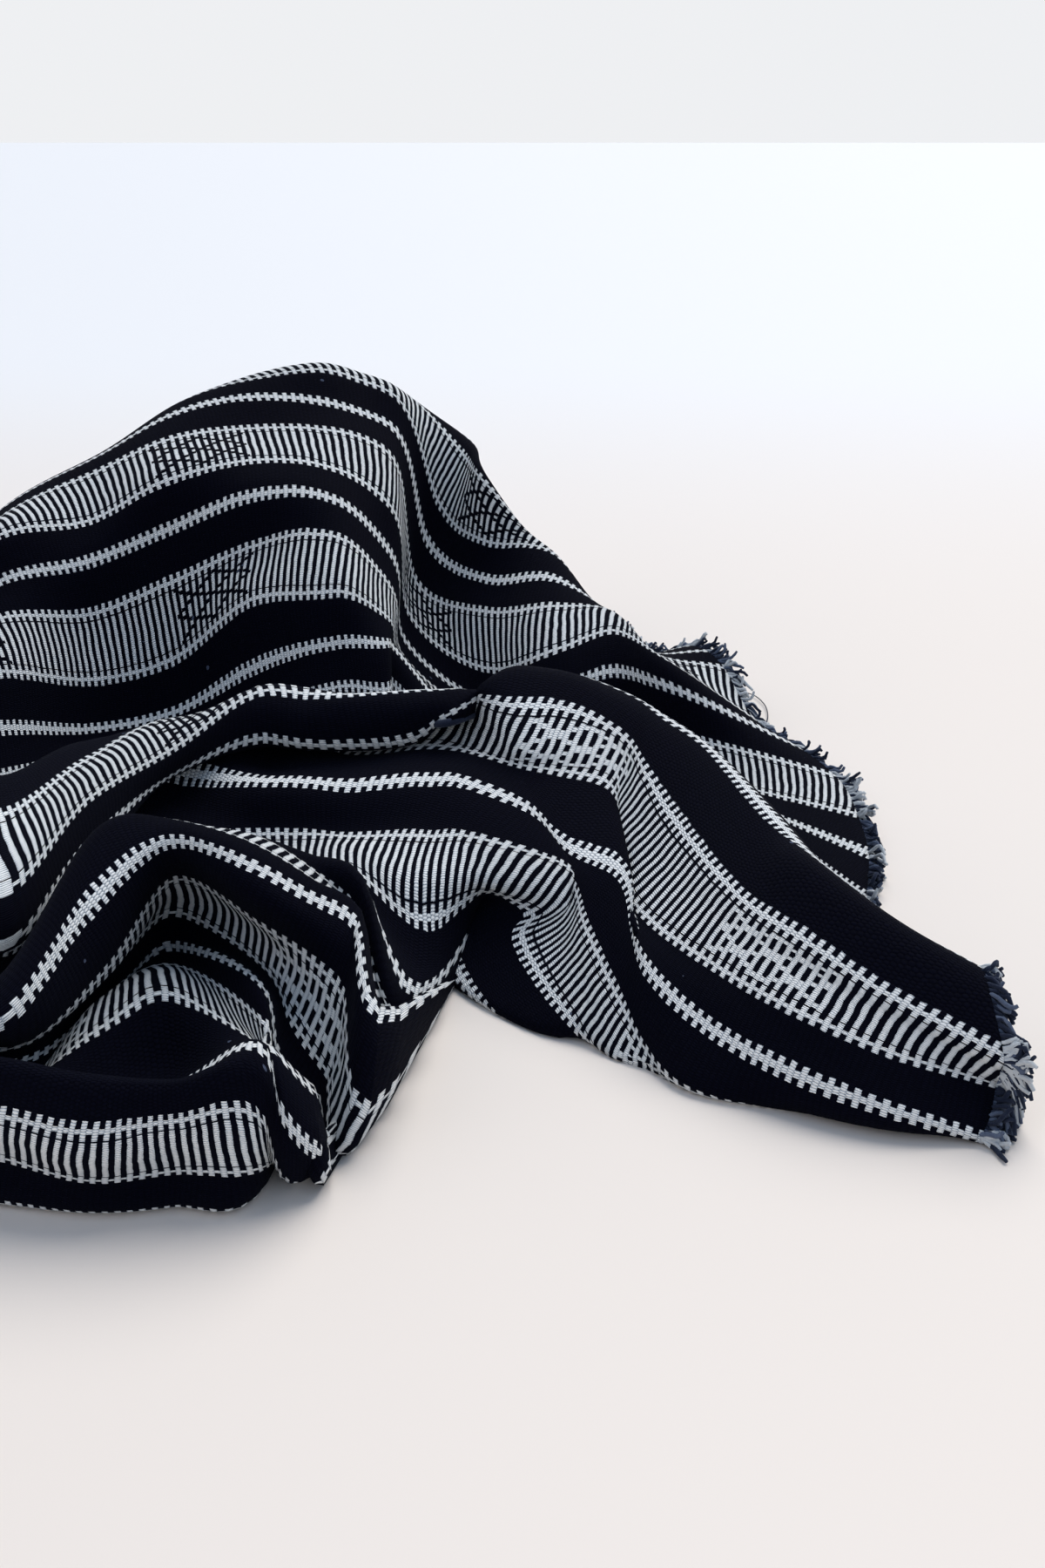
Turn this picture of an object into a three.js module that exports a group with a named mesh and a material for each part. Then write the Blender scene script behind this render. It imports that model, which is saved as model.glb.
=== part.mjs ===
import * as THREE from "three";

// A handwoven cotton cloth, navy with white warp stripes, thrown down in a soft heap.
// It is one strip, 408 mm between its two selvedges and cut 1 m long, with the warp ends
// left as a short fringe at each cut end. It comes in at the rear right, rises over a hill,
// turns over at the left and comes back in front of the hill: its far edge is rolled over,
// its near half stands up in a ring and the rest is folded under a narrowing tail.
// Millimetres, +Z up; x runs to the right, y away from the front, the table is at z = 0.

// Driving sizes
const CLOTH_WIDTH = 408;
const CLOTH_LENGTH = 1000;
const THICKNESS = 2;
const REST_HEIGHT = THICKNESS / 2;
const FRINGE_LENGTH = 8;
const FRINGE_BAND = 2.5;
const FRINGE_GAP = 1.5;
const FRINGE_THICKNESS = 1.4;
const TUFT_PITCH = 8;
const LONGEST_STEP = 20;
// The folds that stand in the strip where it turns back.
const GATHER_HEIGHT = 21;
const GATHER_PITCH = 68;
const GATHERS_RISE = { from: 372, to: 428 };
const GATHERS_FALL = { from: 528, to: 622 };

// The middle of the heap's footprint, in the tables' own x and y.
const MIDDLE = { x: -83.1, y: 520.3 };

// Distances across the cloth, from the far selvedge, at which the surface is worked out.
// They follow the stripes' edges, closer together in the roll along the far selvedge.
const ACROSS = [
  0, 15, 24, 31, 38, 46, 62, 70, 78, 86, 94, 104, 114, 124, 133, 141, 150, 160, 170, 180,
  195, 204, 212, 222, 235, 248, 267, 280, 304, 316, 328, 338, 346, 360, 377, CLOTH_WIDTH,
];

// Sections of the lying cloth, from the rear end to the tail. Each has its name, its distance
// along the cloth from the rear end, and a row for each bend: [across, x, y, z].

const SECTIONS = [
  ["rear end", 0, [
    [0, 34, 742, 1], [60, 44, 712, 1], [120, 52, 675, 3], [150, 58, 650, 9], [190, 69, 614, 24],
    [222, 77, 591, 23], [250, 88, 566, 9], [267, 100, 549, 6], [285, 109, 524, 5], [312, 111, 490, 4],
    [330, 109, 462, 3], [348, 103, 434, 2], [377, 100, 412, 1], [408, 97, 396, 1]]],
  ["rear apron", 42, [
    [0, 28, 745, 1], [60, 32, 715, 1], [120, 36, 680, 3], [160, 42, 645, 11], [200, 46, 612, 24],
    [235, 50, 586, 30], [255, 52, 572, 31], [267, 52, 566, 25], [285, 56, 558, 9], [300, 60, 546, 2],
    [330, 74, 508, 1], [348, 78, 490, 1], [377, 82, 462, 1], [408, 86, 430, 1]]],
  ["low shoulder", 70, [
    [0, 14, 748, 1], [60, 18, 718, 2], [120, 24, 684, 8], [170, 30, 650, 24], [210, 34, 628, 35],
    [235, 35, 614, 37], [249, 35, 602, 34], [267, 34, 587, 23], [285, 36, 576, 9], [300, 38, 564, 2],
    [330, 46, 532, 1], [348, 50, 514, 1], [377, 54, 486, 1], [408, 58, 456, 1]]],
  ["shoulder", 95, [
    [0, -2, 752, 1], [60, 2, 722, 5], [110, 6, 694, 22], [150, 10, 668, 42], [188, 14, 650, 51],
    [204, 14, 635, 46], [222, 14, 618, 40], [249, 13, 593, 29], [267, 13, 580, 18], [285, 14, 568, 7],
    [300, 16, 554, 1], [330, 22, 528, 1], [348, 26, 512, 1], [377, 30, 486, 1], [408, 32, 458, 1]]],
  ["high shoulder", 132, [
    [0, -28, 756, 1], [40, -25, 745, 7], [80, -22, 726, 34], [120, -18, 700, 64], [156, -15, 672, 79],
    [188, -15, 663, 53], [204, -14, 651, 42], [222, -14, 636, 33], [249, -14, 617, 14],
    [267, -14, 605, 4], [285, -13, 590, 1], [330, -11, 548, 1], [348, -10, 532, 1], [377, -9, 506, 1],
    [408, -8, 476, 1]]],
  ["valley", 175, [
    [0, -46, 758, 1], [35, -38, 750, 10], [70, -28, 744, 42], [100, -25, 733, 66], [130, -24, 720, 86],
    [157, -26, 702, 87], [180, -34, 690, 70], [204, -41, 680, 52], [222, -46, 668, 38],
    [249, -48, 648, 28], [267, -49, 632, 22], [300, -48, 608, 20], [330, -48, 588, 30],
    [355, -47, 573, 16], [375, -46, 558, 3], [408, -44, 528, 1]]],
  ["hill, right", 216, [
    [0, -72, 758, 1], [35, -68, 750, 9], [70, -64, 748, 44], [100, -61, 742, 72], [140, -58, 722, 104],
    [165, -57, 708, 113], [180, -56, 699, 113], [204, -56, 682, 100], [222, -56, 666, 92],
    [249, -55, 645, 75], [267, -55, 633, 60], [285, -55, 617, 52], [312, -55, 595, 44],
    [330, -55, 581, 36], [355, -54, 565, 17], [375, -53, 552, 3], [408, -52, 520, 1]]],
  ["hill, nose", 230, [
    [0, -88, 757, 1], [35, -84, 747, 8], [70, -80, 747, 40], [100, -76, 742, 70], [140, -72, 722, 106],
    [165, -70, 708, 117], [180, -69, 700, 118], [204, -69, 680, 106], [222, -68, 663, 99],
    [249, -67, 640, 86], [267, -67, 624, 77], [285, -67, 609, 68], [312, -66, 588, 53],
    [330, -66, 580, 37], [355, -66, 567, 18], [375, -65, 554, 3], [408, -64, 522, 1]]],
  ["hill, top", 244, [
    [0, -104, 756, 1], [35, -99, 745, 7], [70, -94, 746, 40], [100, -90, 741, 72], [140, -86, 722, 109],
    [165, -84, 707, 121], [182, -82, 695, 122], [204, -82, 678, 110], [222, -82, 661, 102],
    [249, -81, 636, 92], [267, -80, 620, 84], [285, -80, 607, 72], [312, -79, 587, 53],
    [330, -79, 579, 35], [355, -79, 564, 16], [375, -78, 552, 3], [408, -77, 520, 1]]],
  ["hill, middle", 268, [
    [0, -130, 752, 1], [35, -126, 740, 6], [70, -120, 742, 38], [100, -115, 736, 72],
    [140, -111, 716, 109], [160, -110, 702, 118], [176, -109, 690, 120], [204, -108, 673, 113],
    [222, -107, 658, 103], [249, -105, 633, 94], [267, -104, 618, 84], [285, -104, 613, 66],
    [312, -102, 593, 49], [330, -101, 584, 26], [350, -100, 570, 9], [365, -99, 557, 2],
    [408, -97, 516, 1]]],
  ["hill, left", 301, [
    [0, -160, 742, 1], [40, -156, 728, 6], [80, -150, 728, 42], [120, -145, 712, 80],
    [160, -141, 688, 104], [185, -140, 671, 111], [200, -139, 660, 110], [222, -138, 639, 102],
    [249, -136, 614, 90], [267, -136, 610, 73], [285, -136, 605, 54], [312, -134, 596, 25],
    [330, -133, 586, 7], [348, -131, 570, 2], [408, -126, 506, 1]]],
  ["hill, low", 333, [
    [0, -194, 724, 1], [50, -188, 709, 6], [90, -181, 704, 40], [130, -176, 690, 72],
    [170, -171, 668, 89], [198, -169, 650, 94], [215, -168, 640, 92], [249, -166, 611, 75],
    [267, -165, 598, 63], [285, -165, 592, 45], [312, -163, 578, 22], [330, -162, 569, 6],
    [348, -160, 553, 2], [408, -154, 488, 1]]],
  ["hill, foot", 364, [
    [0, -226, 706, 1], [60, -219, 690, 8], [100, -214, 686, 34], [140, -208, 670, 60],
    [180, -203, 648, 76], [205, -200, 630, 79], [220, -198, 620, 78], [249, -195, 591, 74],
    [267, -193, 581, 60], [285, -191, 566, 50], [312, -188, 543, 36], [330, -186, 531, 20],
    [350, -184, 515, 7], [370, -182, 500, 1], [408, -178, 462, 1]]],
  ["turn, going in", 396, [
    [0, -252, 680, 1], [70, -244, 660, 9], [110, -239, 650, 28], [150, -233, 634, 46],
    [190, -228, 612, 56], [220, -225, 592, 57], [249, -222, 570, 51], [267, -220, 558, 43],
    [285, -218, 546, 36], [312, -214, 528, 25], [330, -211, 514, 15], [350, -208, 498, 6],
    [370, -206, 482, 1], [408, -202, 440, 1]]],
  ["turn, lower", 442, [
    [0, -270, 632, 1], [80, -261, 604, 10], [120, -256, 590, 20], [180, -249, 560, 30],
    [249, -239, 520, 27], [330, -226, 462, 11], [370, -220, 432, 3], [408, -214, 402, 1]]],
  ["turn, edge below", 468, [
    [0, -284, 588, 8], [40, -281, 579, 8], [80, -276, 567, 8], [120, -270, 551, 9], [180, -263, 518, 11],
    [249, -254, 478, 12], [330, -242, 422, 8], [370, -236, 392, 5], [408, -230, 359, 2]]],
  ["turn, edge above", 486, [
    [0, -286, 577, 24], [40, -283, 569, 23], [80, -278, 558, 23], [120, -271, 540, 24],
    [180, -265, 506, 27], [249, -255, 465, 28], [330, -243, 409, 23], [370, -237, 379, 19],
    [408, -231, 346, 15]]],
  ["turn, upper", 510, [
    [0, -252, 524, 58], [20, -257, 533, 53], [45, -260, 540, 45], [80, -257, 532, 36],
    [120, -248, 506, 35], [180, -238, 474, 39], [249, -228, 436, 39], [300, -220, 402, 34],
    [340, -214, 374, 26], [375, -208, 350, 17], [408, -204, 328, 11]]],
  ["turn, coming back", 580, [
    [0, -178, 418, 60], [20, -186, 434, 66], [45, -195, 452, 64], [75, -200, 464, 52],
    [94, -197, 458, 41], [125, -190, 436, 34], [157, -182, 410, 35], [192, -174, 383, 42],
    [204, -172, 375, 41], [230, -168, 358, 32], [267, -164, 338, 24], [300, -160, 322, 22],
    [330, -156, 308, 27], [346, -154, 300, 22], [377, -153, 296, 8], [393, -152, 295, 2],
    [408, -152, 306, 1]]],
  ["roll, left", 650, [
    [0, -127, 352, 35], [7, -124, 341, 34], [15, -122, 336, 38], [31, -123, 342, 46], [62, -135, 382, 52],
    [75, -141, 405, 52], [84, -142, 410, 45], [94, -139, 400, 37], [125, -131, 370, 28],
    [157, -123, 340, 26], [175, -118, 322, 34], [192, -114, 309, 42], [204, -112, 300, 38],
    [215, -111, 305, 31], [240, -113, 318, 24], [260, -114, 322, 18], [280, -113, 317, 13],
    [310, -111, 306, 17],
    [330, -110, 296, 30], [338, -110, 291, 33], [346, -109, 287, 26], [377, -112, 290, 10],
    [393, -112, 287, 2], [408, -112, 300, 1]]],
  ["ring, left", 685, [
    [0, -115, 400, 38], [7, -113, 389, 37], [15, -114, 384, 42], [31, -115, 394, 49], [62, -122, 423, 51],
    [72, -127, 440, 49], [80, -129, 446, 43], [88, -127, 440, 36], [94, -123, 425, 32],
    [110, -119, 405, 26], [141, -112, 382, 33], [172, -106, 366, 48], [195, -103, 357, 54],
    [204, -102, 340, 46], [212, -100, 336, 38], [225, -99, 342, 29], [248, -101, 353, 25],
    [260, -102, 354, 18], [272, -102, 347, 16], [288, -101, 338, 21], [314, -98, 325, 19], [328, -94, 306, 16],
    [334, -92, 296, 26], [338, -91, 289, 31], [346, -90, 284, 24], [377, -91, 285, 8],
    [393, -91, 284, 2], [408, -92, 300, 1]]],
  ["ring, hood", 714, [
    [0, -106, 449, 43], [7, -103, 443, 39], [15, -103, 440, 40], [31, -101, 439, 47], [46, -103, 447, 51],
    [62, -105, 458, 49], [70, -106, 463, 43], [76, -105, 460, 35], [84, -103, 446, 28],
    [94, -98, 428, 26], [110, -95, 410, 23], [125, -93, 396, 28], [141, -91, 388, 36],
    [172, -89, 375, 50], [192, -88, 367, 55], [204, -86, 361, 53], [212, -86, 362, 48],
    [228, -88, 373, 36], [246, -90, 380, 26], [258, -91, 380, 19], [272, -90, 370, 16],
    [288, -87, 356, 20], [300, -85, 347, 23], [314, -83, 335, 22], [328, -77, 313, 14],
    [334, -74, 299, 22], [338, -73, 290, 29], [346, -73, 287, 24], [377, -74, 288, 8],
    [393, -75, 286, 2], [408, -76, 302, 1]]],
  ["ring, middle", 739, [
    [0, -79, 474, 43], [7, -80, 466, 39], [15, -80, 464, 42], [28, -80, 468, 51], [38, -80, 476, 54],
    [46, -79, 484, 50], [54, -79, 486, 43], [62, -79, 478, 34], [70, -79, 462, 32], [78, -78, 444, 35],
    [94, -75, 430, 26], [110, -73, 417, 22], [125, -71, 401, 28], [141, -68, 384, 42],
    [160, -66, 372, 48], [180, -65, 362, 51], [204, -63, 350, 50], [212, -62, 344, 46],
    [220, -62, 348, 38], [235, -62, 355, 29], [248, -62, 350, 22], [258, -61, 341, 22],
    [267, -61, 333, 26], [285, -59, 323, 24], [302, -58, 316, 21], [314, -57, 310, 24],
    [326, -56, 301, 31], [338, -55, 291, 30], [346, -55, 289, 23], [377, -56, 290, 8],
    [393, -57, 292, 2], [408, -58, 304, 1]]],
  ["ring, lip end", 752, [
    [0, -68, 472, 43], [7, -68, 465, 39], [15, -68, 462, 41], [26, -67, 464, 49], [38, -67, 476, 53],
    [46, -67, 483, 48], [54, -66, 482, 40], [62, -66, 471, 35], [70, -66, 456, 34], [78, -65, 441, 36],
    [94, -62, 427, 27], [110, -60, 412, 25], [125, -59, 399, 28], [133, -57, 390, 32],
    [141, -55, 381, 39], [160, -54, 371, 40], [180, -53, 361, 43], [204, -52, 350, 43],
    [212, -51, 344, 39], [222, -52, 345, 31], [235, -53, 344, 23], [247, -55, 338, 17],
    [258, -57, 331, 14], [270, -58, 323, 15], [284, -58, 316, 20], [298, -57, 309, 26],
    [310, -55, 302, 30], [320, -53, 295, 29], [328, -51, 290, 23], [336, -50, 288, 15],
    [343, -50, 289, 8], [350, -51, 293, 3], [358, -52, 299, 1], [377, -53, 312, 1], [408, -52, 336, 1]]],
  ["ring, right", 766, [
    [0, -56, 471, 43], [7, -55, 464, 39], [15, -55, 461, 41], [24, -54, 462, 48], [31, -53, 467, 53],
    [38, -54, 476, 51], [46, -54, 482, 44], [56, -53, 475, 35], [66, -52, 458, 35], [78, -51, 438, 36],
    [94, -50, 424, 27], [110, -48, 408, 29], [125, -47, 395, 28], [133, -46, 388, 27],
    [141, -43, 379, 35], [150, -42, 371, 38], [163, -41, 367, 27], [178, -41, 361, 27],
    [195, -41, 356, 37], [204, -41, 350, 36], [212, -41, 343, 32], [220, -42, 338, 26],
    [235, -43, 331, 15], [250, -46, 326, 8], [264, -48, 321, 6], [280, -49, 316, 10],
    [296, -49, 310, 16], [308, -47, 304, 19], [318, -45, 298, 17], [326, -43, 295, 11],
    [334, -43, 296, 5], [342, -44, 300, 2], [352, -45, 307, 1], [377, -45, 322, 1],
    [408, -44, 346, 1]]],
  ["ring, end", 783, [
    [0, -36, 475, 44], [7, -34, 468, 40], [15, -33, 465, 42], [24, -32, 466, 50], [31, -32, 472, 53],
    [38, -31, 479, 51], [46, -31, 482, 44], [56, -31, 474, 37], [66, -31, 458, 37], [78, -32, 440, 37],
    [94, -31, 422, 29], [105, -31, 408, 27], [115, -30, 396, 25], [125, -26, 387, 14],
    [133, -26, 376, 9], [141, -28, 362, 10], [160, -29, 350, 7], [180, -30, 345, 8],
    [195, -30, 339, 17], [204, -30, 331, 22], [212, -30, 325, 17], [220, -31, 322, 9],
    [235, -33, 320, 3], [251, -35, 321, 1], [285, -37, 324, 3], [305, -38, 323, 5],
    [320, -38, 321, 3], [340, -36, 326, 1], [408, -28, 356, 1]]],
  ["neck", 790, [
    [0, -30, 471, 44], [8, -28, 468, 43], [15, -27, 466, 46], [24, -26, 468, 51], [31, -26, 473, 53],
    [38, -25, 479, 51], [46, -25, 482, 44], [56, -25, 473, 37], [66, -25, 458, 37], [78, -26, 440, 37],
    [94, -25, 421, 29], [105, -24, 408, 27], [115, -22, 398, 24], [125, -20, 395, 14],
    [133, -20, 388, 8], [141, -21, 381, 6], [150, -22, 375, 3], [158, -21, 377, 1], [204, -18, 388, 1],
    [251, -16, 398, 1], [300, -15, 406, 1], [350, -13, 416, 1], [408, -12, 428, 1]]],
  ["cave", 797, [
    [0, -23, 463, 47], [8, -21, 464, 48], [15, -20, 466, 50], [24, -19, 470, 52], [31, -19, 475, 53],
    [38, -19, 480, 50], [45, -19, 481, 44], [54, -19, 472, 37], [62, -19, 462, 37], [78, -20, 440, 37],
    [94, -18, 420, 30], [105, -15, 409, 27], [115, -13, 402, 23], [125, -12, 405, 18],
    [133, -13, 406, 14], [141, -14, 403, 10], [150, -15, 398, 4], [158, -15, 394, 1], [204, -13, 404, 1],
    [251, -11, 414, 1], [300, -9, 424, 1], [350, -7, 434, 1], [408, -5, 446, 1]]],
  ["cave, right", 809, [
    [0, -6, 491, 44], [8, -6, 489, 51], [16, -6, 484, 56], [24, -6, 476, 58], [31, -6, 467, 54],
    [46, -4, 454, 44], [62, -2, 447, 38], [78, 0, 428, 34], [94, 8, 404, 29], [105, 9, 397, 27],
    [113, 8, 392, 23], [122, 3, 394, 18], [131, -6, 399, 14], [141, -16, 401, 9], [149, -17, 396, 4],
    [157, -17, 390, 1], [204, -12, 402, 1], [300, -3, 424, 1], [408, 4, 448, 1]]],
  ["curl", 824, [
    [0, 8, 493, 43], [8, 8, 491, 50], [16, 8, 486, 56], [24, 9, 477, 57], [31, 10, 467, 53],
    [46, 10, 449, 44], [62, 10, 440, 38], [78, 10, 412, 30], [94, 14, 396, 26], [104, 13, 390, 21],
    [112, 10, 387, 17], [118, 5, 388, 14], [125, -3, 391, 11], [133, -12, 394, 8], [141, -19, 394, 5],
    [148, -21, 389, 2], [156, -18, 384, 1], [204, -8, 398, 1], [300, 8, 424, 1], [408, 18, 446, 1]]],
  ["hanging fold", 852, [
    [0, 36, 485, 38], [8, 34, 483, 46], [16, 33, 476, 51], [24, 32, 464, 51], [31, 31, 454, 47],
    [46, 29, 444, 42], [62, 26, 430, 36], [78, 27, 396, 28], [94, 18, 382, 20], [110, 14, 370, 12],
    [125, 10, 359, 4], [133, 3, 360, 1], [141, -7, 370, 1], [160, 1, 382, 1], [204, 14, 398, 1],
    [250, 24, 412, 1], [300, 32, 425, 1], [350, 38, 436, 1], [408, 44, 448, 1]]],
  ["fold, base", 875, [
    [0, 48, 466, 37], [7, 46, 466, 45], [16, 43, 459, 49], [24, 40, 449, 48], [31, 37, 437, 43],
    [46, 32, 424, 36], [62, 27, 408, 29], [70, 28, 393, 26], [78, 29, 378, 22], [86, 27, 370, 18],
    [94, 25, 362, 12], [102, 23, 355, 7], [110, 22, 349, 2], [118, 21, 349, 1], [125, 19, 354, 1],
    [133, 18, 360, 1], [141, 19, 367, 1], [160, 26, 378, 1], [204, 36, 394, 1], [250, 43, 408, 1],
    [290, 48, 419, 1], [302, 49, 421, 3], [314, 48, 418, 5], [360, 46, 410, 6], [408, 43, 400, 6]]],
  ["pinch", 899, [
    [0, 58, 447, 31], [6, 57, 450, 40], [15, 54, 444, 46], [24, 48, 434, 45], [31, 43, 420, 39],
    [46, 36, 402, 29], [62, 29, 386, 22], [70, 30, 374, 21], [78, 32, 360, 18], [86, 31, 353, 12],
    [94, 31, 346, 5], [102, 32, 341, 1], [140, 40, 358, 1], [200, 50, 384, 1], [250, 56, 402, 1],
    [262, 57, 405, 4], [274, 56, 401, 7], [340, 48, 376, 8], [408, 42, 358, 8]]],
  ["tail, wide", 930, [
    [0, 76, 412, 24], [6, 74, 410, 34], [15, 68, 402, 41], [24, 62, 388, 38], [31, 58, 374, 33],
    [46, 54, 362, 27], [62, 50, 350, 20], [70, 49, 344, 17], [78, 48, 338, 12], [86, 46, 333, 7],
    [94, 44, 329, 2], [102, 46, 331, 1], [140, 53, 344, 1], [200, 62, 366, 1], [250, 68, 382, 1],
    [262, 69, 385, 4], [274, 68, 381, 7], [340, 60, 360, 8], [408, 54, 346, 8]]],
  ["tail, middle", 951, [
    [0, 84, 392, 19], [6, 82, 389, 29], [15, 76, 382, 38], [24, 71, 371, 41], [31, 69, 355, 33],
    [46, 68, 344, 26], [62, 66, 332, 19], [70, 66, 328, 15], [78, 65, 323, 10], [86, 65, 321, 4],
    [94, 66, 323, 1], [140, 71, 340, 1], [200, 76, 358, 1], [250, 80, 371, 1], [262, 81, 374, 4],
    [274, 80, 370, 7], [340, 75, 352, 7], [408, 71, 338, 7]]],
  ["tail, narrow", 968, [
    [0, 94, 371, 16], [6, 93, 368, 25], [15, 89, 360, 34], [24, 85, 350, 37], [31, 83, 338, 29],
    [46, 82, 331, 23], [62, 81, 323, 16], [70, 80, 319, 12], [78, 80, 315, 8], [84, 80, 314, 4],
    [92, 81, 317, 1], [140, 85, 332, 1], [200, 89, 346, 1], [250, 91, 356, 1], [262, 92, 359, 4],
    [274, 91, 356, 7], [340, 88, 342, 6], [408, 85, 330, 6]]],
  ["tail end", 1000, [
    [0, 113, 353, 13], [6, 112, 351, 20], [15, 110, 343, 27], [24, 109, 332, 28], [31, 110, 321, 20],
    [46, 110, 319, 14], [62, 109, 319, 9], [70, 107, 314, 5], [78, 104, 310, 2], [86, 104, 313, 1],
    [94, 104, 317, 1], [140, 106, 327, 1], [200, 107, 337, 1], [250, 108, 345, 1], [262, 108, 347, 4],
    [274, 108, 345, 6], [340, 107, 335, 5], [408, 106, 325, 5]]],
];

const AT = { name: 0, along: 1, bends: 2 };
const ROW = { across: 0, x: 1, y: 2, z: 3 };

// A smooth curve through values at given stops, without overshoot in its slopes' mean.
function smoothCurve(stops, values) {
  const last = stops.length - 1;
  const rise = (i) => (values[i + 1] - values[i]) / (stops[i + 1] - stops[i]);
  const slopes = stops.map((stop, i) => {
    if (i === 0) return rise(0);
    if (i === last) return rise(last - 1);
    const before = stops[i] - stops[i - 1];
    const after = stops[i + 1] - stops[i];
    return (rise(i - 1) * after + rise(i) * before) / (before + after);
  });
  return (at) => {
    let i = 0;
    while (i < last - 1 && at >= stops[i + 1]) i += 1;
    const span = stops[i + 1] - stops[i];
    const t = (at - stops[i]) / span;
    const t2 = t * t;
    const t3 = t2 * t;
    return (2 * t3 - 3 * t2 + 1) * values[i]
      + (t3 - 2 * t2 + t) * span * slopes[i]
      + (3 * t2 - 2 * t3) * values[i + 1]
      + (t3 - t2) * span * slopes[i + 1];
  };
}

// How high the standing folds lift the cloth at a place along and across it.
function gathers(u, v) {
  const rise = (u - GATHERS_RISE.from) / (GATHERS_RISE.to - GATHERS_RISE.from);
  const fall = (GATHERS_FALL.to - u) / (GATHERS_FALL.to - GATHERS_FALL.from);
  const share = Math.min(Math.max(Math.min(rise, fall), 0), 1);
  return GATHER_HEIGHT * share * share * (3 - 2 * share) * Math.sin(Math.PI * v / GATHER_PITCH) ** 2;
}

// The middle surface as rows along the cloth of points across it.
function middleSurface(along, across) {
  const stations = SECTIONS.map((section) => section[AT.along]);
  const columns = [ROW.x, ROW.y, ROW.z].map((column) => {
    const profiles = SECTIONS.map((section) => {
      const bends = section[AT.bends];
      return smoothCurve(bends.map((row) => row[ROW.across]), bends.map((row) => row[column]));
    });
    return across.map((v) => smoothCurve(stations, profiles.map((profile) => profile(v))));
  });
  return along.map((u) => across.map((v, j) => {
    const [x, y, z] = columns.map((curves) => curves[j](u));
    const height = Math.max(z, REST_HEIGHT) + gathers(u, v);
    return new THREE.Vector3(x - MIDDLE.x, y - MIDDLE.y, height);
  }));
}

// Each section's own place along the cloth, and one place between two that lie far apart.
function stationsAlong() {
  const stations = SECTIONS.map((section) => section[AT.along]);
  return stations.flatMap((u, i) => {
    if (i === 0 || u - stations[i - 1] <= LONGEST_STEP) return [u];
    return [(stations[i - 1] + u) / 2, u];
  });
}

// Unit normals of a surface given as rows of points, pointing up where the cloth lies flat.
function surfaceNormals(rows) {
  const lastRow = rows.length - 1;
  const lastPoint = rows[0].length - 1;
  return rows.map((row, i) => row.map((point, j) => {
    const alongStep = new THREE.Vector3().subVectors(
      rows[Math.min(i + 1, lastRow)][j], rows[Math.max(i - 1, 0)][j]);
    const acrossStep = new THREE.Vector3().subVectors(
      row[Math.min(j + 1, lastPoint)], row[Math.max(j - 1, 0)]);
    return alongStep.cross(acrossStep).normalize();
  }));
}

function shifted(rows, normals, distance) {
  return rows.map((row, i) => row.map((point, j) => {
    const moved = point.clone().addScaledVector(normals[i][j], distance);
    moved.z = Math.max(moved.z, 0);
    return moved;
  }));
}

// A closed shell between two surfaces of equal rows, over the cells that are filled.
function shellBetween(upper, lower, filled) {
  const rows = upper.length;
  const points = upper[0].length;
  const positions = [...upper.flat(), ...lower.flat()].flatMap((p) => [p.x, p.y, p.z]);
  const top = (i, j) => i * points + j;
  const bottom = (i, j) => rows * points + top(i, j);
  const isFilled = (i, j) => i >= 0 && j >= 0 && i < rows - 1 && j < points - 1 && filled(i, j);
  const triangles = [];
  const quad = (a, b, c, d) => triangles.push(a, b, c, a, c, d);
  for (let i = 0; i < rows - 1; i += 1) {
    for (let j = 0; j < points - 1; j += 1) {
      if (!isFilled(i, j)) continue;
      quad(top(i, j), top(i + 1, j), top(i + 1, j + 1), top(i, j + 1));
      quad(bottom(i, j), bottom(i, j + 1), bottom(i + 1, j + 1), bottom(i + 1, j));
      if (!isFilled(i - 1, j)) quad(top(i, j), top(i, j + 1), bottom(i, j + 1), bottom(i, j));
      if (!isFilled(i + 1, j)) {
        quad(top(i + 1, j + 1), top(i + 1, j), bottom(i + 1, j), bottom(i + 1, j + 1));
      }
      if (!isFilled(i, j - 1)) quad(top(i + 1, j), top(i, j), bottom(i, j), bottom(i + 1, j));
      if (!isFilled(i, j + 1)) {
        quad(top(i, j + 1), top(i + 1, j + 1), bottom(i + 1, j + 1), bottom(i, j + 1));
      }
    }
  }
  return compact(positions, triangles);
}

// Only the points that a face uses.
function compact(positions, triangles) {
  const used = new Map();
  const kept = [];
  const index = triangles.map((old) => {
    if (!used.has(old)) {
      used.set(old, used.size);
      kept.push(...positions.slice(old * 3, old * 3 + 3));
    }
    return used.get(old);
  });
  const geometry = new THREE.BufferGeometry();
  geometry.setAttribute("position", new THREE.Float32BufferAttribute(kept, 3));
  geometry.setIndex(index);
  geometry.computeVertexNormals();
  return geometry;
}

function namedMesh(name, geometry, material) {
  const mesh = new THREE.Mesh(geometry, material);
  mesh.name = name;
  return mesh;
}

const navyCotton = new THREE.MeshStandardMaterial({ color: 0x11131f, roughness: 0.9, metalness: 0 });
const rearFringeCotton = new THREE.MeshStandardMaterial({ color: 0x4a5468, roughness: 0.95, metalness: 0 });
const frontFringeCotton = new THREE.MeshStandardMaterial({ color: 0x47526a, roughness: 0.95, metalness: 0 });

function makeCloth() {
  const rows = middleSurface(stationsAlong(), ACROSS);
  const normals = surfaceNormals(rows);
  const upper = shifted(rows, normals, THICKNESS / 2);
  const lower = shifted(rows, normals, -THICKNESS / 2);
  return namedMesh("cloth", shellBetween(upper, lower, () => true), navyCotton);
}

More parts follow.
